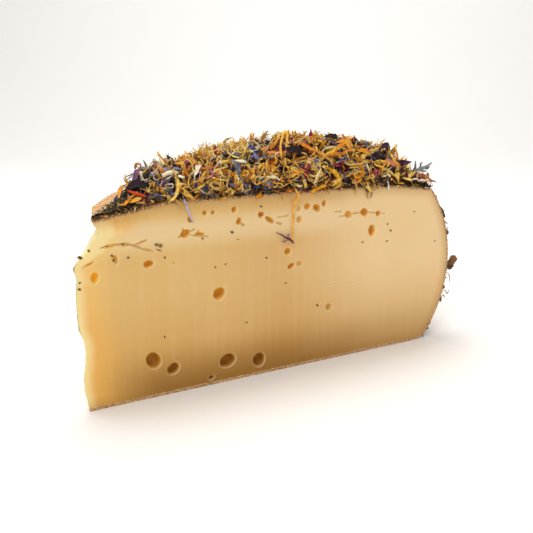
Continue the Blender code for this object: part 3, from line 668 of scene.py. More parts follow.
# Kinds of pieces in the heap: count, length, width, outline, lift over the core, tilt, curl, cup,
# thickness, crumple, sway, and how common it is from the tip to the heel
HEAP_KINDS = {
    "marigold_petals": (1300, (7, 17), (0.9, 2.4), RIBBON, (-2.0, 1.2), 28, (0.4, 2.8), (0.1, 0.9),
                        0.14, 0.7, 0.22, (0, 0.5, 0.8, 1.2, 1.0)),
    "straw_petals": (1000, (7, 16), (0.4, 1.5), RIBBON, (-1.8, 1.3), 32, (0.6, 3.4), (0.1, 0.9),
                     0.13, 0.7, 0.26, (0, 1.0, 1.2, 0.9, 0.6)),
    "dark_petals": (820, (4, 10), (1.4, 3.2), LEAF, (-2.0, 1.1), 24, (0.3, 1.3), (0.2, 1.0),
                    0.16, 0.8, 0.1, (0, 0.8, 0.9, 1.1, 1.1)),
    "blue_florets": (160, (4, 9), (1.2, 2.6), FLORET, (-0.6, 1.3), 30, (0.2, 1.1), (0.2, 0.9),
                     0.14, 0.7, 0.1, (0, 0.7, 0.9, 1.0, 1.2)),
    "lilac_buds": (280, (4, 8), (1.0, 2.4), BUD, (-0.8, 1.3), 30, (0.1, 0.9), (0.3, 1.0),
                   0.3, 0.8, 0.1, (0, 1.0, 1.1, 1.0, 0.8)),
    "rose_petals": (100, (4, 9), (1.8, 3.8), SHIELD, (-0.8, 1.2), 24, (0.4, 1.4), (0.1, 0.8),
                    0.16, 1.0, 0.08, (0, 0.8, 1.0, 1.0, 0.9)),
    "red_threads": (300, (4, 9), (0.35, 0.8), THREAD, (-0.8, 1.4), 30, (0.3, 1.8), (0.0, 0.6),
                    0.2, 0.6, 0.14, (0, 1.0, 0.9, 1.0, 0.9)),
    "green_herbs": (1300, (2, 6), (0.6, 2.0), LEAF, (-1.8, 1.1), 26, (0.2, 1.4), (0.2, 1.0),
                    0.15, 0.7, 0.12, (1.6, 1.1, 0.8, 0.8, 1.1)),
    "brown_chips": (320, (2, 6), (0.6, 1.8), STALK, (-1.0, 1.3), 30, (0.1, 0.8), (0.1, 0.8),
                    0.4, 0.6, 0.1, (0.5, 0.8, 1.0, 1.0, 1.1)),
    "pale_stalks": (230, (6, 13), (0.3, 0.6), STALK, (-0.6, 1.6), 26, (0.2, 1.6), (0.0, 0.3),
                    0.3, 0.6, 0.16, (0, 0.9, 1.0, 1.0, 0.8)),
    "fine_herbs": (3000, (1.2, 3.6), (0.3, 0.9), LEAF, (-0.9, 1.2), 30, (0.1, 0.9), (0.1, 0.8),
                   0.16, 0.4, 0.1, (2.4, 1.1, 0.7, 0.6, 1.0)),
}


def make_heap():
    """The core, and each kind of piece over it, with the larger petals of the solids among them."""
    made = {"heap_core": make_heap_core()}
    kind, place, axes, length, width, curl, cup = proud_pieces()
    shared = {
        "marigold_petals": kind == 0, "pale_stalks": kind == 2,
        "dark_petals": (kind == 1) & (width > DARK_WIDTH), "rose_petals": (kind == 1) & (width <= DARK_WIDTH),
    }
    narrower = {"marigold_petals": 0.8, "dark_petals": 0.85, "pale_stalks": 0.45, "rose_petals": 0.85}
    for number, (name, facts) in enumerate(HEAP_KINDS.items()):
        count, lengths, widths, outline, lifts, tilt, curls, cups, thick, crumple, sway, zones = facts
        rng = np.random.default_rng(100 + number)
        edge = 0.3 if name == "fine_herbs" else 0.2
        places, turns, grown = on_heap(rng, count, *lifts, tilt, zones, edge)
        sizes = rng.uniform(*lengths, count) * grown, rng.uniform(*widths, count) * grown
        bends = rng.uniform(*curls, count) * rng.choice((-1, 1), count)
        if name in shared:
            extra = shared[name]
            places, turns = np.concatenate((places, place[extra])), np.concatenate((turns, axes[extra]))
            sizes = np.append(sizes[0], length[extra]), np.append(sizes[1], width[extra] * narrower[name])
            bends = np.append(bends, curl[extra])
        made[name] = make_strips(
            name, "dried_petals", "flower_topping", rng, places, turns, *sizes, outline, cups, thick, crumple,
            curl=bends, sway=sway,
        )
    return made


def along_cut(rng, count, low, high, out):
    """Frames in a narrow band along both top edges of the cut faces, mostly lying along them.

    The last array is how much of its size each piece has, as they are smaller near the tip.
    """
    reach = rng.uniform(HEAP_START, SHOULDER, count)
    back = rng.random(count) < 0.4
    inset = rng.uniform(-out, 2.2, count)
    turn = np.where(back, WEDGE_ANGLE - (inset + bare_strip(reach)) / reach, inset / reach)
    keep = reach > line_reach(HEAP_START, np.clip(turn, 0, WEDGE_ANGLE))
    keep &= rng.random(count) > 0.75 * smooth(124, 136, reach) * ~back
    keep &= ~back | (turn > 0)
    reach, turn, back = reach[keep], turn[keep], back[keep]
    count = len(reach)
    tufts = smooth(-0.4, 0.5, noise(polar(reach, turn, 0 * reach), 6.0, 35))
    pile = (0.15 + 0.85 * smooth(14, 34, reach)) * (0.4 + 0.6 * tufts)
    pile = pile * np.where(back, 1, 1 - 0.3 * smooth(60, 90, reach) - 0.4 * smooth(124, 136, reach))
    place = polar(reach, turn, top_height(reach) + rng.uniform(low, high, count) * pile)
    side = np.where(back, WEDGE_ANGLE + math.pi / 2, -math.pi / 2)
    outward = polar(np.full(count, 0.8), side, np.full(count, 0.6))
    base = axes_from(outward, polar(np.ones(count), turn, np.zeros(count)))
    axes = base @ turned(2, rng.normal(0, 0.7, count)) @ turned(1, rng.uniform(-0.3, 0.5, count))
    return place, axes @ turned(0, rng.uniform(-0.6, 0.6, count)), 0.45 + 0.55 * smooth(16, 36, reach)


def make_edge_herbs():
    """The dark line of herbs where the heap ends on the cuts: bits in a narrow band on the top's edge."""
    made = {}
    for name, count, lengths, widths, seed in (
        ("edge_herbs", 2400, (1.2, 4.2), (0.4, 1.2), 201),
        ("edge_petals", 480, (2.5, 7.5), (0.4, 1.1), 202),
    ):
        rng = np.random.default_rng(seed)
        place, axes, grown = along_cut(rng, count, 0.3, 3.2, 0.5)
        count = len(place)
        sizes = rng.uniform(*lengths, count) * grown, rng.uniform(*widths, count)
        made[name] = make_strips(name, "dried_petals", "flower_topping", rng, place, axes, *sizes, LEAF,
                                 cup=(0.1, 0.8), thick=0.18, stations=5, crumple=0.3, lift=0.1)
    return made


def on_rind(turn, height, lift, spin, rise, roll):
    """Frames on the heel's rind, Z out of it, turned by spin and tilted by rise and roll."""
    reach = rim_reach(height)
    slope = (rim_reach(height + 0.5) - rim_reach(height - 0.5))
    normal = polar(np.ones_like(turn), turn, -slope)
    base = axes_from(normal, polar(np.ones_like(turn), turn + math.pi / 2, np.zeros_like(turn)))
    place = polar(reach, turn, height) + base[:, :, 2] * lift[:, None]
    return place, base @ turned(2, spin) @ turned(1, rise) @ turned(0, roll)


def make_rind_herbs():
    """Herbs and petals stuck to the heel: the larger flakes of the solids, and small ones all over it."""
    made = {}
    draw = random.Random(7)
    rows = []
    for number in range(RIND_FLAKES):
        size = [draw.uniform(*limits) for limits in ((2.6, 6.4), (1.4, 2.8), (0.9, 1.5))]
        turn = (0.03 + 0.94 * (number * EVEN_STEPS[0] % 1)) * WEDGE_ANGLE
        height = (0.07 + 0.86 * (number * EVEN_STEPS[1] % 1)) * HEIGHT
        rows.append((turn, height, *size[:2], draw.uniform(0, math.tau)))
    turn, height, length, width, spin = np.array(rows).T
    for name, count, lengths, widths, outline, seed, thick in (
        ("rind_herbs", 2300, (0.8, 4.2), (0.4, 1.5), LEAF, 301, 0.3),
        ("rind_petals", 330, (2.0, 6.5), (0.6, 1.8), RIBBON, 302, 0.22),
    ):
        rng = np.random.default_rng(seed)
        turns = rng.uniform(0.0, 1.0, count) * WEDGE_ANGLE
        heights = rng.uniform(0.8, HEIGHT - SHOULDER_DROP - 0.3, count)
        lift, spins = rng.uniform(0.05, 0.45, count), rng.uniform(0, math.tau, count)
        sizes = rng.uniform(*lengths, count) * rng.uniform(0.5, 1, count), rng.uniform(*widths, count)
        if name == "rind_herbs":
            turns, heights = np.append(turns, turn), np.append(heights, height)
            spins, lift = np.append(spins, spin), np.append(lift, np.full(RIND_FLAKES, 0.5))
            sizes = np.append(sizes[0], length), np.append(sizes[1], width)
        count = len(turns)
        rises, rolls = rng.uniform(-0.25, 0.25, count), rng.uniform(-0.4, 0.4, count)
        place, axes = on_rind(turns, heights, lift, spins, rises, rolls)
        made[name] = make_strips(
            name, "cheese_paste", "cheese", rng, place, axes, *sizes, outline, cup=(0, 0.4), thick=thick,
            crumple=0.25, curl=(0.05, 0.5), stations=6, over_cheese=False, floor=0.05,
        )
    return made


# Bits on the cut face: along it from the tip, height, length, width, spin in degrees, tint
FACE_SPECKS = (
    (57.9, 58.8, 1.5, 1.0, 30, 0.2), (18.7, 53.5, 1.1, 0.8, 0, 0.4), (31.8, 52.2, 1.1, 0.9, 60, 0.1),
    (29.0, 57.1, 1.6, 1.1, 10, 0.9), (30.4, 56.6, 1.5, 1.2, 80, 1.0), (29.7, 55.0, 2.4, 0.5, 25, 0.9),
    (50.9, 46.4, 1.0, 0.6, 70, 0.65), (55.1, 46.9, 0.7, 1.0, 10, 0.65), (30.5, 22.8, 0.8, 0.9, 60, 0.0),
    (63.6, 22.7, 0.9, 0.7, 0, 0.4), (72.4, 47.3, 1.1, 0.8, 40, 0.1), (117.9, 48.9, 1.0, 0.8, 0, 0.3),
    (130.8, 55.3, 1.2, 0.8, 70, 0.3), (132.4, 52.2, 1.4, 0.8, 40, 0.2), (130.6, 48.1, 1.0, 0.8, 0, 0.4),
    (70.3, 67.3, 1.0, 0.9, 0, 0.0), (81.0, 36.2, 0.9, 0.7, 0, 0.4), (96.1, 24.7, 1.4, 1.0, 50, 0.4),
    (157.8, 45.2, 0.9, 0.8, 0, 0.1), (145.1, 59.4, 1.1, 0.9, 0, 0.2), (13.0, 54.8, 1.1, 0.8, 60, 0.1),
    (13.6, 53.0, 0.9, 1.2, 10, 0.3), (11.6, 58.3, 0.8, 0.5, 0, 0.0), (17.0, 58.4, 1.0, 0.7, 20, 0.3),
    (41.8, 64.2, 0.8, 0.7, 0, 0.2), (2.6, 55.2, 2.0, 1.1, 20, 0.1), (5.4, 57.3, 1.1, 0.9, 70, 0.2),
    (1.6, 44.6, 1.2, 1.2, 70, 0.9), (2.0, 47.0, 0.8, 0.8, 0, 0.2), (34.7, 49.8, 0.6, 0.4, 0, 0.6),
    (46.2, 57.4, 0.9, 0.6, 40, 0.2), (60.3, 55.8, 0.7, 0.4, 0, 0.1),
)


def make_face_specks():
    """The bits on the cut face, lying flat on it."""
    rows = np.array(FACE_SPECKS, dtype=float)
    rng = np.random.default_rng(401)
    place = np.stack((rows[:, 0] + TIP_START, np.full(len(rows), -0.12), rows[:, 1]), -1)
    normal = np.broadcast_to(np.array([0.0, -1.0, 0.0]), place.shape)
    base = axes_from(normal, np.broadcast_to(np.array([1.0, 0.0, 0.0]), place.shape))
    axes = base @ turned(2, -np.radians(rows[:, 4])) @ turned(0, rng.uniform(-0.3, 0.3, len(rows)))
    return make_strips(
        "face_specks", "cheese_paste", "cheese", rng, place, axes, rows[:, 2], rows[:, 3], LEAF, cup=(0, 0.4),
        thick=0.3, crumple=0.2, curl=(0.05, 0.4), stations=6, over_cheese=False, tints=rows[:, 5],
    )


def on_top(along, depth, rise):
    """A place at a rise over the heap, or in front of the face over the height that it has at the cut."""
    out = along + TIP_START
    reach, turn = np.hypot(out, depth), np.arctan2(np.maximum(depth, 0), out)
    inside = np.minimum(reach, SHOULDER)
    return out, depth, top_height(inside) + heap_height(inside, turn) + rise


def ribbon(route, widths, flat, sides=10, steps=30):
    """A petal or stalk along a smooth curve through the route's points (a Catmull-Rom spline).

    Its section is an ellipse, flat times as thick as wide, whose broad side faces the front. A flat one
    is wrapped round an arc, (sin(b s) / b, (1 - cos(b s)) / b) for s from -1 to 1, and crumpled by noise.
    Both ends are closed.
    """
    wrapped = flat < 0.6
    shares = np.linspace(0, len(route) - 1, steps)
    before = np.clip(shares.astype(int), 0, len(route) - 2)
    part = (shares - before)[:, None]
    ends = np.concatenate((2 * route[:1] - route[1:2], route, 2 * route[-1:] - route[-2:-1]))
    p0, p1, p2, p3 = (ends[before + number] for number in range(4))
    line = 0.5 * (2 * p1 + (p2 - p0) * part + (2 * p0 - 5 * p1 + 4 * p2 - p3) * part**2
                  + (3 * p1 - p0 - 3 * p2 + p3) * part**3)
    ahead = np.gradient(line, axis=0)
    axes = axes_from(ahead, np.broadcast_to(np.array([-0.3, -1.0, 0.5]), ahead.shape))
    half = np.interp(np.linspace(0, 1, steps), np.linspace(0, 1, len(widths)), widths)[:, None] / 2
    around = np.linspace(0, 2 * math.pi, sides, endpoint=False)
    bend = 1.35 if wrapped else 0.01
    out = 0.7 * flat * np.cos(around) + (1 - np.cos(bend * np.sin(around))) / bend
    aside = np.sin(bend * np.sin(around)) / bend
    section = np.stack((half * out, half * aside, 0 * half * around), -1)
    points = line[:, None] + np.einsum("sij,skj->ski", axes, section)
    for size, amount in ((2.2, 0.45), (0.9, 0.2)) if wrapped else ():
        shift = [noise(points, size, 71 + number) for number in range(3)]
        points = points + amount * np.stack(shift, -1)
    caps = [np.arange(sides)[::-1], np.arange(sides) + (steps - 1) * sides]
    along = np.repeat(np.linspace(0, 1, steps), sides)
    return points.reshape(-1, 3), [*quads(steps, sides, around=True), *caps], along


def make_ribbons(name, rows, place=on_top, replaced="flower_topping"):
    """One piece of all the ribbons of a kind; place turns each point of a route into one in the wheel."""
    points, faces, marks, first = [], [], {"tint": [], "along": []}, 0
    for tint, flat, widths, route in rows:
        found, sides, along = ribbon(np.stack(place(*np.array(route, dtype=float).T), -1), widths, flat)
        points.append(found)
        faces += [side + first for side in sides]
        marks["tint"].append(np.full(len(found), tint))
        marks["along"].append(along)
        first += len(found)
    marks = {mark: np.concatenate(values) for mark, values in marks.items()}
    piece = make_piece(name, np.concatenate(points), faces, marks=marks, weld=False)
    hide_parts(replaced)
    return piece


# The petals and stalks that stand out in the heap and over its edge, each with its tint, how flat it
# is, its widths and its route: along the face, depth behind it, and rise over the heap
GOLDEN_RIBBONS = (
    (0.90, 0.3, (0.6, 2.4, 2.7, 2.2, 0.8),
     ((93.5, 1.5, 1.0), (90, 2, 1.6), (87, 2, 1.8), (84, 1.3, 1.6), (81, 1.2, 0.8))),
    (0.85, 0.3, (1.0, 3.0, 3.4, 2.0, 0.5),
     ((79.5, 3.2, 0.8), (76.5, 3.3, 1.5), (74, 2.4, 1.6), (73.3, 0.5, 0.8))),
    (0.50, 0.3, (0.8, 2.0, 1.8, 0.6), ((21.6, 7, 0.6), (19.4, 6.8, 1.4), (18, 5, 1.3), (17.7, 3.3, 0.5))),
    (0.55, 0.4, (0.4, 1.5, 1.6, 0.5), ((20.2, 0.6, 0.6), (22.3, 0.4, 1.0), (24.8, 0.5, 0.8))),
    (0.50, 0.3, (1.2, 2.3, 2.1, 0.6), ((49, 3.4, 0.9), (51.7, 2.4, 1.3), (55.2, 1.9, 0.8))),
    (0.85, 0.6, (0.7, 0.8, 0.9, 1.6, 1.0, 0.8, 0.6),
     ((82.2, 5.8, 0.6), (83, 8, 2), (84.4, 9, 4), (85.6, 9.6, 4.8), (86.8, 9.4, 4.2), (86, 8.4, 2.2),
      (84.6, 7, 0.6))),
    (0.35, 0.3, (0.8, 1.7, 1.9, 1.5, 0.6),
     ((92, 9, 0.9), (95.5, 7, 1.3), (99.5, 5.5, 1.3), (104.2, 4.5, 0.8))),
    (0.40, 0.3, (1.0, 2.0, 2.2, 1.0), ((107.5, 6.4, 0.8), (110.2, 7.0, 1.9), (113.2, 7.4, 1.1))),
    (0.70, 0.3, (1.0, 2.1, 2.3, 1.0), ((110.4, 7.8, 0.9), (113.6, 8.2, 2.3), (117.4, 8.4, 0.9))),
    (0.20, 0.3, (0.8, 1.8, 2.0, 0.8),
     ((108.8, 5.4, 0.8), (112.2, 5.8, 1.7), (115.4, 6.6, 1.7), (118.2, 7.2, 0.8))),
    (0.65, 0.3, (0.8, 2.0, 1.9, 0.8), ((110, 9.2, 0.9), (112.8, 8, 2.4), (116, 6.4, 1.0))),
    (0.30, 0.3, (1.0, 2.4, 2.2, 0.8), ((104.5, 5.4, 0.8), (107.4, 5.2, 1.5), (110.4, 4.2, 0.9))),
    (0.50, 0.3, (0.8, 2.2, 2.4, 1.0), ((119, 7.4, 0.9), (122, 6.6, 1.5), (125, 5.4, 0.9))),
    (0.30, 0.8, (1.2, 0.9, 0.8, 0.9, 1.3),
     ((138.6, 3.2, 0.2), (139.7, 6, 0.8), (139.6, 6.6, 2.4), (139.2, 7, 3.8), (138.5, 7.6, 4.3))),
    (0.75, 0.7, (0.9, 0.9, 0.8, 0.9, 0.8, 0.8, 0.7, 0.7, 0.7),
     ((82.9, 0.5, 1.8), (85.9, -0.9, -2.6), (85.5, -1.2, -4.4), (84.3, -1.1, -5.8), (83.9, -0.9, -9.5),
      (83.7, -0.8, -13.5), (83.4, -0.8, -19.5), (83.7, -0.9, -21.7), (85.2, -0.9, -22.2))),
    (0.60, 0.5, (0.4, 1.5, 1.4, 0.5), ((65, 4.5, 0.9), (67.2, 3.2, 1.5), (68.6, 1.5, 0.8))),
    (0.70, 0.4, (0.6, 1.6, 1.8, 0.6), ((39.5, 8, 0.9), (41.8, 6.4, 1.6), (42.2, 4.2, 0.9))),
)
STRAW_RIBBONS = (
    (0.90, 0.9, (1.6, 1.8, 1.7, 1.5), ((33.4, 3.9, 0.8), (36.5, 4.2, 1.3), (39.4, 4.2, 1.0))),
    (0.30, 0.6, (0.8, 1.1, 1.0, 0.6),
     ((31.3, 1.2, 0.8), (33.8, -0.6, 0), (36.7, -1, -1.6), (38.8, -0.8, -3.6))),
    (0.40, 0.7, (0.9, 1.0, 0.8, 0.4), ((38, 1, 1.0), (40.4, -0.5, 0), (44.5, -0.7, -2.2))),
    (0.35, 0.8, (0.6, 0.8, 0.8, 0.5),
     ((112.9, 2.1, 0.8), (113.5, 0.4, 0.8), (113.3, -0.8, -2.2), (112.8, -0.6, -4.8))),
    (0.20, 0.6, (0.7, 0.9, 0.8, 0.6), ((113.4, 2.1, 0.9), (115, 0.4, 0.6), (116.8, -0.7, -1.4))),
    (1.00, 0.8, (0.7, 0.8, 0.7), ((129.4, 0.6, 0.6), (129.6, -0.6, -1.0), (129.7, -0.7, -3.6))),
    (0.80, 0.3, (1.0, 3.0, 3.4, 2.0, 0.8),
     ((91.6, 4.2, 0.8), (93.4, 3.8, 1.7), (95, 3, 1.7), (96.8, 2, 0.8))),
    (0.70, 0.3, (0.8, 2.4, 2.2, 0.6), ((94.5, 4.6, 0.9), (96.8, 3.6, 1.7), (98.4, 2.2, 0.9))),
    (0.60, 0.4, (0.6, 1.4, 1.4, 0.6), ((70.8, 5.9, 0.8), (73.7, 4.1, 1.3), (76.2, 2.4, 0.8))),
    (0.50, 0.4, (0.5, 1.1, 1.1, 0.5), ((67.6, 5.2, 0.8), (70.4, 3.6, 1.3), (72.6, 2, 0.8))),
    (1.00, 0.3, (0.8, 2.0, 2.2, 1.0, 0.4),
     ((48.9, 7, 0.8), (47.4, 5.6, 1.7), (46, 4.2, 1.6), (44.3, 2, 0.8))),
    (0.95, 0.4, (0.6, 1.4, 0.6), ((146, -0.2, 0.9), (148, -0.4, 1.6), (149.8, -0.2, 1.0))),
    (0.95, 0.4, (0.5, 1.2, 0.6), ((142.5, -0.1, 1.0), (144.3, -0.3, 1.7), (146, -0.1, 1.2))),
    (0.90, 0.4, (0.5, 1.3, 0.5), ((149.4, 0.2, 1.2), (151.2, -0.2, 1.8), (152.6, -0.1, 0.9))),
    (0.50, 0.5, (0.4, 1.0, 1.0, 0.4), ((42.6, 9, 1.2), (44, 7.4, 3.0), (45.2, 6, 2.4), (45.4, 4.6, 0.9))),
    (0.55, 0.5, (0.4, 0.9, 0.8, 0.3),
     ((52.8, 10, 1.0), (54, 9.6, 3.2), (56.2, 9, 4.2), (57.6, 8.8, 3.6))),
)
BLUE_RIBBONS = (
    (0.15, 0.3, (0.6, 1.3, 1.2, 0.6), ((16.8, 6.0, 0.3), (18.2, 5.8, 0.6), (19.6, 5.2, 0.4))),
    (0.80, 0.4, (0.4, 1.3, 1.1, 1.5, 0.6),
     ((22, 9, 4.2), (24.6, 9.4, 2.6), (26.4, 9.2, 1.9), (28.6, 9, 1.3), (31.4, 7.2, 0.8))),
    (0.85, 0.5, (0.3, 0.8, 0.3), ((21.4, 8.6, 3.2), (23.4, 9, 2.4), (25.6, 8.8, 1.6))),
    (0.50, 0.3, (0.8, 2.5, 2.3, 1.4, 0.6),
     ((61.8, 7.2, 1.0), (62.8, 5, 1.7), (62.6, 3, 1.6), (63.1, 1.2, 0.8))),
    (0.60, 0.3, (1.4, 3.1, 2.7, 0.8), ((48.9, 1.8, 0.8), (48.7, 0.2, 1.0), (49.9, -0.9, -0.8))),
    (0.00, 0.3, (0.8, 2.3, 2.3, 0.8), ((71.2, 12, 1.0), (71.7, 10.2, 1.7), (73.1, 8.5, 0.9))),
    (0.15, 0.3, (1.0, 3.1, 3.3, 1.2), ((113.7, 3.3, 0.9), (116.8, 2.7, 1.6), (119.9, 2, 0.9))),
    (0.05, 0.3, (0.8, 2.1, 0.8), ((107, 3.5, 0.9), (109, 3.9, 1.4), (111.3, 4.2, 0.9))),
    (1.00, 0.7, (0.4, 0.7, 0.9, 0.7, 0.4),
     ((38.6, 0.8, 0.6), (39.8, -0.8, -2.4), (40.6, -1, -5.0), (41.6, -0.8, -7.6), (42.8, -0.7, -9.8))),
    (0.70, 0.6, (1.2, 1.3, 1.5, 1.5, 0.5),
     ((146.4, 4.2, 0.2), (148.2, 4, 2.6), (150.4, 4, 4.8), (153.4, 4, 7.0), (157.2, 4.2, 9.2))),
    (0.75, 0.6, (0.8, 1.2, 0.3), ((149.6, 4, 4.0), (152, 4, 4.6), (154.4, 4, 5.6))),
    (0.65, 0.6, (0.7, 1.0, 0.3), ((148.2, 4, 2.4), (147.6, 4, 4.6), (147.6, 4, 6.6))),
    (0.75, 0.6, (0.7, 1.1, 0.3), ((152, 4, 6.0), (154.4, 4.1, 6.8), (156.2, 4.1, 7.6))),
    (0.70, 0.6, (0.7, 1.0, 0.3), ((150.6, 4, 5.0), (150.6, 4, 6.8), (151.6, 4, 8.2))),
    (0.55, 0.4, (0.6, 1.8, 1.8, 0.6), ((84.4, 2.2, 0.8), (87, 3, 1.0), (89.6, 3.2, 0.6))),
)
PURPLE_RIBBONS = (
    (0.10, 0.3, (1.0, 3.0, 3.4, 2.4, 0.8),
     ((20.7, 3.8, 0.9), (23, 3.3, 1.7), (25.4, 2.5, 1.7), (27.9, 2.3, 0.9))),
    (0.80, 0.4, (0.6, 2.3, 2.5, 0.8),
     ((25.8, 9.4, 2.8), (25.2, 7.8, 2.0), (24.4, 6.2, 1.6), (22.9, 4.4, 0.8))),
    (0.05, 0.3, (1.2, 3.4, 4.0, 3.2, 1.0),
     ((83.7, 8.1, 0.8), (87.5, 6.8, 1.3), (91.5, 5.9, 1.3), (95.5, 4.9, 0.8))),
    (0.10, 0.4, (1.0, 2.4, 2.8, 1.2), ((105, 11.1, 0.9), (108, 10.5, 1.8), (111.8, 10.8, 0.9))),
    (0.45, 0.4, (1.0, 2.6, 3.2, 2.4, 1.0),
     ((131.5, 8.8, 1.0), (134, 8.6, 2.8), (136.2, 8.8, 2.6), (137, 9.6, 1.2))),
    (0.00, 0.8, (2.0, 4.0, 3.6, 1.4), ((128, 5.4, 0.2), (130, 6.2, 0.9), (132.4, 5.8, 0.2))),
    (0.60, 0.5, (0.4, 1.3, 1.1, 0.8, 0.3),
     ((84, -0.7, -21.6), (82.2, -0.9, -19.8), (80.2, -0.8, -19.0), (78.4, -0.8, -17.8),
      (76.6, -0.6, -16.2))),
    (0.90, 0.6, (0.2, 0.5, 0.2), ((81.6, -0.8, -19.7), (79.8, -0.9, -20.4), (78.6, -0.7, -20.2))),
    (0.90, 0.6, (0.2, 0.5, 0.2), ((81.8, -0.8, -19.7), (81.4, -1.0, -18.2), (82.0, -0.8, -17.4))),
    (0.15, 0.3, (0.8, 2.6, 2.4, 0.8), ((33.5, 2.4, 0.7), (36, 1.6, 1.0), (38.8, 1.2, 0.6))),
    (0.20, 0.3, (0.8, 2.4, 2.6, 0.8), ((57, 2.6, 0.7), (59.6, 1.8, 1.0), (61.4, 0.8, 0.6))),
)
RED_RIBBONS = (
    (0.50, 0.4, (0.6, 1.6, 1.8, 0.8), ((50.9, 6.1, 0.9), (51.7, 4.6, 1.6), (52.8, 2.8, 0.8))),
    (0.30, 0.4, (1.0, 1.8, 0.4), ((57.6, 13, 0.6), (57.2, 12, 2.8), (57, 11.4, 4.8))),
    (0.30, 0.4, (1.4, 2.2, 1.2, 0.3), ((99, 12, 0.6), (98.8, 11.4, 1.8), (98.6, 10.8, 3.6))),
    (0.72, 0.3, (1.2, 3.2, 3.4, 1.2), ((129.4, 3.9, 0.9), (133.1, 3.8, 1.6), (137.2, 3.3, 0.8))),
    (1.00, 0.6, (0.5, 0.9, 1.1, 0.6), ((120.1, 1, 1.0), (125.2, 1.6, 1.6), (129.8, 2.1, 1.0))),
    (0.95, 0.4, (0.8, 2.0, 1.8, 0.5), ((131.4, 2.2, 0.9), (132.3, 1.0, 1.2), (130.6, -0.6, 0))),
    (0.85, 0.4, (1.2, 2.4, 2.2, 1.4, 0.3),
     ((145.6, 1.6, 1.8), (149.4, 1.2, 2.4), (153, 1.0, 1.9), (157.4, 1.0, 0.9))),
    (0.00, 0.4, (1.0, 2.6, 2.8, 1.0), ((88.6, 1.1, 0.8), (93, 1.3, 1.0), (96.9, 0.4, 0.6))),
    (1.00, 0.6, (0.5, 1.2, 0.9), ((20.4, 2.8, 1.4), (23, 1.4, 1.4), (26, 0.6, 0.9))),
    (0.92, 0.5, (0.5, 1.3, 1.4, 0.5), ((56.5, 4.6, 0.9), (58.4, 3.4, 1.4), (60.2, 2.6, 0.9))),
)
BROWN_RIBBONS = (
    (0.80, 0.6, (0.8, 1.2, 1.0, 0.4),
     ((76.8, 12, 1.2), (76.9, 11, 3.6), (77.3, 10, 5.6), (78.6, 10, 6.6))),
    (0.20, 0.8, (0.4, 0.8, 0.4), ((117.5, 0.8, 0.8), (118.4, -0.7, -1.2), (118.8, -0.6, -4.4))),
    (0.30, 0.8, (0.4, 0.8, 0.4), ((120.4, 0.6, 0.6), (119.4, -0.7, -1.6), (117.8, -0.6, -3.4))),
    (0.95, 0.6, (0.4, 0.8, 0.8, 0.3),
     ((118.8, 0.2, 0), (119.6, -0.9, -2.8), (118.6, -0.9, -4.8), (119.4, -0.7, -6.6))),
    (0.85, 0.6, (0.3, 0.7, 0.3), ((119.8, -0.7, -3.0), (121.0, -0.9, -4.4), (120.6, -0.7, -6.4))),
    (0.95, 0.8, (0.4, 0.5, 0.5, 0.4),
     ((124.4, 0.6, 0.6), (124.8, -0.8, -1.6), (122.4, -0.9, -3.0), (119.8, -0.8, -2.4))),
    (0.90, 0.4, (0.6, 1.6, 1.4, 0.5),
     ((25.6, 9.2, 3.2), (26.2, 8.8, 4.2), (27, 8.2, 3.2), (27.4, 7.4, 1.6))),
)


def on_heel(out, depth, height):
    """A place at a distance out from the rim, at a depth behind the front cut and a height."""
    reach = rim_reach(height) + out
    return np.sqrt(reach**2 - depth**2), depth, height


# Bits that stick out of the heel by the front cut: as above, but the route is out of the rim, depth
# behind the front cut, and height
HEEL_RIBBONS = (
    (0.00, 0.4, (0.6, 1.5, 1.4, 0.5), ((0.1, 0.6, 54.8), (0.5, 0.4, 57.2), (0.2, 0.6, 60.2))),
    (0.35, 0.6, (0.5, 1.3, 0.5), ((0.1, 0.5, 47.0), (0.8, 0.3, 48.4), (0.3, 0.5, 49.8))),
    (0.45, 0.5, (1.2, 3.0, 4.4, 4.6, 1.6),
     ((0.0, 0.9, 34.0), (1.6, 1.0, 33.4), (3.0, 1.2, 34.0), (4.3, 1.6, 35.2), (5.2, 2.2, 36.8))),
    (0.30, 0.5, (1.4, 3.0, 3.6, 1.4),
     ((0.2, 0.8, 32.2), (1.8, 0.9, 31.8), (3.4, 1.2, 32.4), (4.8, 1.8, 33.8))),
    (0.60, 0.5, (1.0, 2.8, 3.0, 1.2),
     ((0.3, 3.4, 33.0), (2.0, 3.2, 32.4), (3.8, 2.8, 33.0), (5.2, 2.4, 34.8))),
    (0.90, 0.8, (0.3, 0.5, 0.5, 0.3),
     ((0.2, 0.4, 29.6), (1.6, 0.2, 28.8), (2.9, 0.2, 27.0), (3.4, 0.3, 24.8))),
    (0.95, 0.8, (0.3, 0.5, 0.5, 0.3),
     ((0.2, 0.4, 21.4), (2.2, 0.2, 20.8), (3.8, 0.2, 19.2), (4.5, 0.3, 20.9))),
    (0.85, 0.8, (0.3, 0.5, 0.3), ((0.2, 0.4, 17.6), (1.8, 0.2, 18.9), (3.0, 0.2, 17.2))),
    (0.20, 0.5, (0.4, 1.1, 0.4), ((0.1, 0.5, 24.2), (0.6, 0.3, 23.0), (0.2, 0.5, 21.6))),
)


# Materials: shader maths as expressions on sockets


def colour(red, green, blue):
    """A colour as a screen shows it, 0 to 255, as the linear values a shader takes."""
    parts = [part / 255 for part in (red, green, blue)]
    return (*[part / 12.92 if part <= 0.04045 else ((part + 0.055) / 1.055) ** 2.4 for part in parts], 1.0)


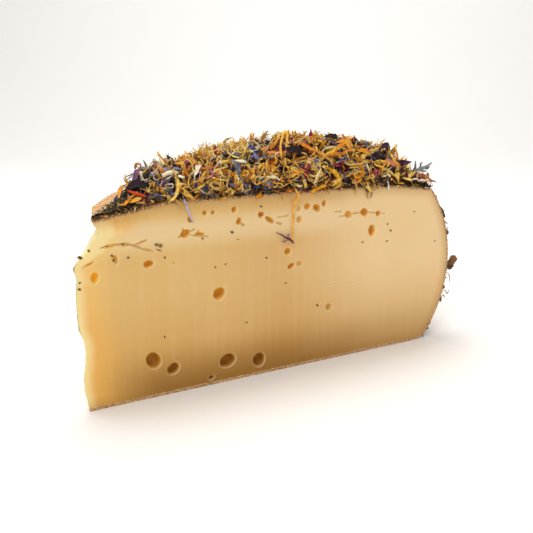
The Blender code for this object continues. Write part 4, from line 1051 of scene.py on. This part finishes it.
class Amount:
    """A value socket that adds Math nodes when it is used in an expression."""

    def __init__(self, finish, socket):
        self.finish = finish
        self.socket = socket

    def _math(self, operation, *values):
        node = self.finish.node("ShaderNodeMath", {"operation": operation}, dict(enumerate(values)))
        return Amount(self.finish, node.outputs[0])

    def __add__(self, other):
        return self._math("ADD", self, other)

    def __sub__(self, other):
        return self._math("SUBTRACT", self, other)

    def __rsub__(self, other):
        return self._math("SUBTRACT", other, self)

    def __mul__(self, other):
        return self._math("MULTIPLY", self, other)

    def step(self, start, end):
        """0 before start and 1 after end, with an S-curve between them."""
        inputs = {"Value": self.socket, "From Min": start, "From Max": end}
        node = self.finish.node("ShaderNodeMapRange", {"interpolation_type": "SMOOTHSTEP"}, inputs)
        return Amount(self.finish, node.outputs["Result"])

    __radd__ = __add__
    __rmul__ = __mul__


class Finish:
    """A material whose constants are set on its shader, with one method for every node it needs."""

    def __init__(self, name, **constants):
        self.material = bpy.data.materials.new(name)
        self.material.use_nodes = True
        self.tree = self.material.node_tree
        self.shader = self.tree.nodes["Principled BSDF"]
        for socket, value in constants.items():
            self.shader.inputs[socket.replace("_", " ")].default_value = value

    def node(self, kind, settings, inputs):
        """A node of a kind: its settings first, then a value or a link for each socket."""
        made = self.tree.nodes.new(kind)
        for setting, value in settings.items():
            if setting == "stops":
                while len(made.color_ramp.elements) < len(value):
                    made.color_ramp.elements.new(0.5)
                for element, (place, tone) in zip(made.color_ramp.elements, value):
                    element.position = place
                    element.color = tone
            else:
                setattr(made, setting, value)
        for socket, value in inputs.items():
            value = value.socket if isinstance(value, Amount) else value
            if isinstance(value, bpy.types.NodeSocket):
                self.tree.links.new(value, made.inputs[socket])
            else:
                made.inputs[socket].default_value = value
        return made

    def feed(self, socket, value):
        value = value.socket if isinstance(value, Amount) else value
        self.tree.links.new(value, self.shader.inputs[socket])

    def mark(self, name):
        return Amount(self, self.node("ShaderNodeAttribute", {"attribute_name": name}, {}).outputs["Fac"])

    def places(self, scale=(1, 1, 1)):
        """Object coordinates in millimetres, stretched by scale."""
        source = self.node("ShaderNodeTexCoord", {}, {}).outputs["Object"]
        sizes = tuple(part / MM for part in scale)
        return self.node("ShaderNodeMapping", {}, {"Vector": source, "Scale": sizes}).outputs["Vector"]

    def axis(self, number):
        parts = self.node("ShaderNodeSeparateXYZ", {}, {"Vector": self.places()})
        return Amount(self, parts.outputs[number])

    def grain(self, size, detail=2.0, scale=(1, 1, 1), rough=0.5):
        inputs = {"Vector": self.places(scale), "Scale": 1 / size, "Detail": detail, "Roughness": rough}
        return Amount(self, self.node("ShaderNodeTexNoise", {}, inputs).outputs["Fac"])

    def mix(self, share, first, second, blend="MIX"):
        settings = {"data_type": "RGBA", "blend_type": blend}
        node = self.node("ShaderNodeMix", settings, {0: share, 6: first, 7: second})
        return node.outputs[2]

    def ramp(self, share, stops):
        settings = {"stops": [(place, colour(*tone)) for place, tone in stops]}
        return self.node("ShaderNodeValToRGB", settings, {"Fac": share}).outputs["Color"]

    def bump(self, height, distance):
        inputs = {"Height": height, "Distance": distance * MM, "Strength": 1.0}
        self.feed("Normal", self.node("ShaderNodeBump", {}, inputs).outputs["Normal"])


def paste_finish():
    """Pale yellow paste that lets light in: a painted glow at the thin tip, painted shade towards the base,
    ochre under the rind, amber eyes partly painted shade.
    """
    finish = Finish(
        "cheese_paste", Specular_IOR_Level=0.35,
        Subsurface_Weight=0.45, Subsurface_Radius=(1.0, 0.55, 0.22), Subsurface_Scale=3.2 * MM,
    )
    along, height = finish.axis(0), finish.axis(2)
    rind, tip, torn, hollow, lip = (finish.mark(name) for name in ("rind", "tip", "torn", "hollow", "lip"))
    cloudy = finish.grain(26, 3.0)
    streaks = finish.grain(2.6, 2.0, (1, 1, 0.05))
    tone = finish.mix(along.step(-55, -17), colour(229, 189, 118), colour(224, 181, 115))
    tone = finish.mix(along.step(-17, 40), tone, colour(245, 212, 159))
    pale_band = height.step(52, 60) * (1 - height.step(62, 68)) * (1 - along.step(0, 40))
    tone = finish.mix(pale_band * 0.6, tone, colour(246, 222, 176))
    # Painted shade: the face turns darker and more ochre towards its base
    tone = finish.mix((1 - height.step(2, 44)) * 0.62, tone, colour(204, 148, 56))
    tone = finish.mix(cloudy.step(0.35, 0.7) * 0.2, tone, colour(232, 198, 134))
    tone = finish.mix(streaks.step(0.4, 0.75) * 0.1, tone, colour(242, 214, 156))
    # Painted glow: the thin tip is brighter and warmer, as if light came through it
    painted_tip_glow = finish.mix(height.step(25, 50), colour(250, 190, 88), colour(250, 208, 120))
    tone = finish.mix((1 - tip.step(3, 16)) * 0.6, tone, painted_tip_glow)
    orange_corner = (1 - tip.step(5, 18)) * height.step(60, 68) * streaks.step(0.3, 0.6)
    tone = finish.mix(orange_corner * 0.8, tone, colour(240, 160, 44))
    # Painted glow: a pale cream band along the face's torn edge, as if light came through the thin tip
    painted_edge_glow = 1 - (tip - height.step(50, 58) * 3).step(0.5, 4.5)
    tone = finish.mix(painted_edge_glow * 0.8, tone, colour(252, 230, 168))
    tone = finish.mix((1 - rind.step(0.6, 6.0)) * 0.4, tone, colour(188, 138, 56))
    # Darker along the base, strongest mid-face: partly painted shade from the loose petals in front, partly the
    # darker paste by the base rind
    low = (1 - height.step(1.5, 22)) * tip.step(2, 30) * (1 - along.step(-20, 55) * 0.62)
    tone = finish.mix(low * 0.78, tone, colour(150, 100, 18))
    wobble = rind + (finish.grain(0.9, 2.0) - 0.5) * 0.9
    skin = finish.mix(finish.grain(0.7, 3.0).step(0.4, 0.62), colour(186, 130, 76), colour(234, 190, 138))
    tone = finish.mix((1 - wobble.step(0.8, 1.5)), tone, skin)
    tone = finish.mix(torn * rind.step(0.8, 3.0) * 0.8, tone, colour(248, 228, 168))
    # Painted highlight: the pale lip round each eye, brightest on its lower side
    tone = finish.mix(lip * 0.5, tone, colour(246, 226, 172))
    # Inside the eyes and slits: partly their own amber, partly painted shade in the hollows; darker towards the
    # base and bright yellow near the thin tip
    inner = finish.mix(height.step(0, 44), colour(160, 98, 0), colour(228, 158, 6))
    inner = finish.mix(tip.step(4, 20), colour(255, 188, 0), inner)
    tone = finish.mix(hollow * 0.96, tone, inner)
    finish.feed("Base Color", tone)
    pores = finish.grain(0.55, 2.0)
    finish.feed("Roughness", pores * 0.16 + 0.38 + (1 - rind.step(0.4, 1.0)) * 0.35)
    skin_bump = (1 - rind.step(0.5, 1.0)) * finish.grain(1.1, 3.0)
    finish.bump(streaks * 0.12 + pores * 0.1 + skin_bump * 2.0 + torn * finish.grain(1.6, 4.0) * 1.2, 0.35)
    return finish.material


def petal_finish(name, stops, tip):
    """A dried piece: its colour goes by its own tint, and towards its tip to a second one if there is one."""
    finish = Finish(name, Specular_IOR_Level=0.3)
    tone = finish.ramp(finish.mark("tint"), stops)
    if tip:
        tone = finish.mix(finish.mark("along").step(0.45, 1.0) * 0.5, tone, colour(*tip))
    mottle = finish.grain(1.3, 3.0)
    tone = finish.mix(mottle.step(0.48, 0.7) * 0.45, tone, colour(58, 34, 20))
    dust = finish.grain(0.45, 2.0).step(0.45, 0.65)
    tone = finish.mix(dust * 0.5, tone, colour(250, 232, 190), blend="SOFT_LIGHT")
    finish.feed("Base Color", tone)
    finish.feed("Roughness", mottle * 0.2 + 0.52)
    finish.bump(finish.grain(0.5, 3.0), 0.12)
    return finish.material


def core_finish():
    """The heap's inside, painted nearly black as the shade deep among its herbs, with brown and ochre grains."""
    finish = Finish("shaded_herb_core", Specular_IOR_Level=0.2)
    tone = finish.mix(finish.grain(0.9, 3.0).step(0.45, 0.6), colour(24, 18, 12), colour(66, 46, 26))
    tone = finish.mix(finish.grain(1.7, 3.0, rough=0.7).step(0.6, 0.7), tone, colour(120, 78, 32))
    finish.feed("Base Color", tone)
    finish.feed("Roughness", finish.grain(1.2, 2.0) * 0.2 + 0.7)
    finish.bump(finish.grain(0.8, 4.0), 0.8)
    return finish.material


# The tints of each kind of piece, as places and colours of a ramp, and the colour towards its tip
TONES = {
    "marigold_petals": (
        ((0.0, (222, 112, 10)), (0.3, (250, 158, 22)), (0.55, (255, 190, 50)), (0.8, (255, 218, 120)),
         (1.0, (200, 116, 34))), (255, 210, 100)),
    "straw_petals": (
        ((0.0, (255, 224, 140)), (0.35, (244, 196, 100)), (0.6, (180, 140, 76)), (0.8, (255, 236, 180)),
         (1.0, (255, 246, 220))), None),
    "dark_petals": (
        ((0.0, (34, 18, 34)), (0.35, (58, 26, 52)), (0.65, (30, 26, 46)), (0.85, (74, 30, 44)),
         (1.0, (28, 20, 24))), None),
    "blue_florets": (
        ((0.0, (44, 58, 128)), (0.4, (60, 78, 152)), (0.7, (38, 42, 90)), (1.0, (96, 106, 158))), (70, 90, 168)),
    "lilac_buds": (
        ((0.0, (96, 96, 132)), (0.35, (132, 130, 168)), (0.7, (84, 78, 104)), (1.0, (176, 170, 194))), None),
    "rose_petals": (
        ((0.0, (120, 26, 52)), (0.35, (160, 46, 88)), (0.6, (90, 22, 46)), (0.8, (196, 104, 128)),
         (1.0, (140, 40, 60))), None),
    "red_threads": (
        ((0.0, (196, 44, 16)), (0.4, (222, 84, 20)), (0.7, (170, 30, 22)), (1.0, (232, 120, 30))), None),
    "green_herbs": (
        ((0.0, (30, 36, 20)), (0.3, (62, 64, 36)), (0.55, (116, 108, 66)), (0.75, (44, 44, 30)),
         (1.0, (160, 148, 104))), None),
    "brown_chips": (
        ((0.0, (92, 56, 26)), (0.4, (134, 88, 42)), (0.7, (70, 44, 26)), (1.0, (172, 120, 62))), None),
    "pale_stalks": (
        ((0.0, (226, 180, 96)), (0.4, (208, 150, 66)), (0.7, (190, 160, 100)), (1.0, (236, 206, 150))), None),
    "fine_herbs": (
        ((0.0, (26, 26, 16)), (0.25, (70, 66, 36)), (0.45, (140, 128, 78)), (0.6, (48, 40, 28)),
         (0.8, (196, 172, 112)), (1.0, (226, 200, 146))), None),
    "edge_herbs": (
        ((0.0, (22, 22, 14)), (0.3, (58, 56, 30)), (0.55, (116, 98, 54)), (0.75, (36, 26, 26)),
         (1.0, (196, 160, 98))), None),
    "edge_petals": (
        ((0.0, (226, 138, 34)), (0.35, (196, 148, 78)), (0.6, (60, 44, 84)), (0.8, (196, 70, 26)),
         (1.0, (240, 204, 136))), None),
    "rind_herbs": (
        ((0.0, (26, 30, 18)), (0.3, (54, 58, 30)), (0.55, (92, 74, 38)), (0.8, (40, 30, 24)),
         (1.0, (124, 96, 52))), None),
    "rind_petals": (
        ((0.0, (214, 130, 34)), (0.3, (150, 104, 50)), (0.55, (70, 60, 110)), (0.75, (130, 40, 60)),
         (1.0, (224, 176, 104))), None),
    "face_specks": (
        ((0.0, (82, 66, 32)), (0.4, (120, 96, 50)), (0.65, (170, 84, 40)), (1.0, (122, 104, 56))), None),
    "golden_ribbons": (
        ((0.0, (212, 104, 18)), (0.5, (250, 158, 30)), (1.0, (252, 196, 84))), (255, 208, 110)),
    "straw_ribbons": (
        ((0.0, (150, 112, 58)), (0.4, (220, 174, 92)), (0.8, (244, 212, 140)), (1.0, (252, 242, 224))), None),
    "blue_ribbons": (
        ((0.0, (40, 58, 150)), (0.3, (84, 104, 150)), (0.6, (104, 112, 128)), (0.72, (132, 140, 136)),
         (1.0, (188, 176, 200))), None),
    "purple_ribbons": (((0.0, (26, 16, 24)), (0.5, (62, 40, 66)), (0.9, (128, 72, 112))), None),
    "red_ribbons": (
        ((0.0, (84, 22, 40)), (0.35, (150, 40, 86)), (0.6, (214, 128, 142)), (0.75, (222, 136, 100)),
         (0.88, (136, 62, 34)), (1.0, (206, 62, 24))), None),
    "brown_ribbons": (((0.0, (60, 38, 22)), (0.5, (120, 78, 40)), (1.0, (190, 136, 78))), None),
    "heel_ribbons": (
        ((0.0, (34, 42, 26)), (0.3, (88, 62, 34)), (0.5, (124, 84, 46)), (1.0, (196, 150, 84))), None),
}


def dress(pieces):
    """Gives each piece its material."""
    for name, piece in pieces.items():
        if name == "cheese_wedge":
            piece.data.materials.append(paste_finish())
        elif name == "heap_core":
            piece.data.materials.append(core_finish())
        else:
            stops, tip = TONES[name]
            piece.data.materials.append(petal_finish(name, stops, tip))


# Floor, light and camera


def make_floor():
    """A pale floor that sweeps up into a wall far behind: a flat run, a quarter circle and a rise."""
    turn = np.linspace(0, math.pi / 2, 24)
    radius, behind = 600.0, 900.0
    profile = np.concatenate((
        [(-1600.0, 0.0)],
        np.stack((behind + radius * np.sin(turn), radius * (1 - np.cos(turn))), -1),
        [(behind + radius, 2600.0)],
    ))
    sideways = np.array([-3000.0, 3000.0])
    points = np.stack((
        np.broadcast_to(sideways[:, None], (2, len(profile))),
        np.broadcast_to(profile[:, 0], (2, len(profile))),
        np.broadcast_to(profile[:, 1], (2, len(profile))),
    ), -1).reshape(-1, 3)
    ahead = np.array([math.sin(CAMERA_YAW), math.cos(CAMERA_YAW)])
    right = np.array([math.cos(CAMERA_YAW), -math.sin(CAMERA_YAW)])
    flat = points[:, :1] * right + points[:, 1:2] * ahead
    points = np.concatenate((flat, points[:, 2:]), axis=1)
    mesh = bpy.data.meshes.new("floor")
    mesh.from_pydata((points * MM).tolist(), [], quads(2, len(profile)).tolist())
    mesh.polygons.foreach_set("use_smooth", np.ones(len(mesh.polygons), dtype=bool))
    floor = bpy.data.objects.new("floor", mesh)
    bpy.context.scene.collection.objects.link(floor)
    finish = Finish("pale_floor", Base_Color=colour(250, 248, 245), Roughness=0.7, Specular_IOR_Level=0.2)
    mesh.materials.append(finish.material)


def add_light(name, place, size, watts, aim=(0, 0, 40)):
    """A softbox at a place, in millimetres, its sides in metres, that shines towards a point."""
    lamp = bpy.data.lights.new(name, "AREA")
    lamp.shape = "RECTANGLE"
    lamp.size, lamp.size_y = size
    lamp.energy = watts
    light = bpy.data.objects.new(name, lamp)
    light.location = Vector(place) * MM
    towards = Vector(aim) * MM - light.location
    light.rotation_euler = towards.to_track_quat("-Z", "Y").to_euler()
    bpy.context.scene.collection.objects.link(light)


def light_scene():
    world = bpy.data.worlds.new("studio")
    world.use_nodes = True
    world.node_tree.nodes["Background"].inputs["Color"].default_value = (1.0, 0.99, 0.975, 1)
    world.node_tree.nodes["Background"].inputs["Strength"].default_value = 0.54
    bpy.context.scene.world = world
    add_light("key_softbox", (-520, -560, 900), (0.36, 0.36), 3.3)
    add_light("top_softbox", (-60, 260, 1100), (0.7, 0.5), 6.4)
    add_light("backdrop_wash", (500, 500, 1300), (1.2, 0.4), 5.5, aim=(900, 1500, 500))


def place_camera():
    camera = bpy.data.cameras.new("camera")
    camera.lens = CAMERA_LENS
    camera.sensor_width = 36
    viewer = bpy.data.objects.new("camera", camera)
    viewer.location = Vector(CAMERA_PLACE) * MM
    viewer.rotation_euler = (math.pi / 2 - CAMERA_DIP, 0, -CAMERA_YAW)
    bpy.context.scene.collection.objects.link(viewer)
    bpy.context.scene.camera = viewer


def main():
    bpy.context.scene.view_settings.view_transform = "Standard"
    place_camera()
    light_scene()
    make_floor()
    pieces = {"cheese_wedge": make_cheese(), **make_heap(), **make_edge_herbs(), **make_rind_herbs()}
    pieces["face_specks"] = make_face_specks()
    for name, rows in (
        ("golden_ribbons", GOLDEN_RIBBONS), ("straw_ribbons", STRAW_RIBBONS), ("blue_ribbons", BLUE_RIBBONS),
        ("purple_ribbons", PURPLE_RIBBONS), ("red_ribbons", RED_RIBBONS), ("brown_ribbons", BROWN_RIBBONS),
    ):
        pieces[name] = make_ribbons(name, rows)
    pieces["heel_ribbons"] = make_ribbons("heel_ribbons", HEEL_RIBBONS, on_heel, "cheese")
    dress(pieces)


main()
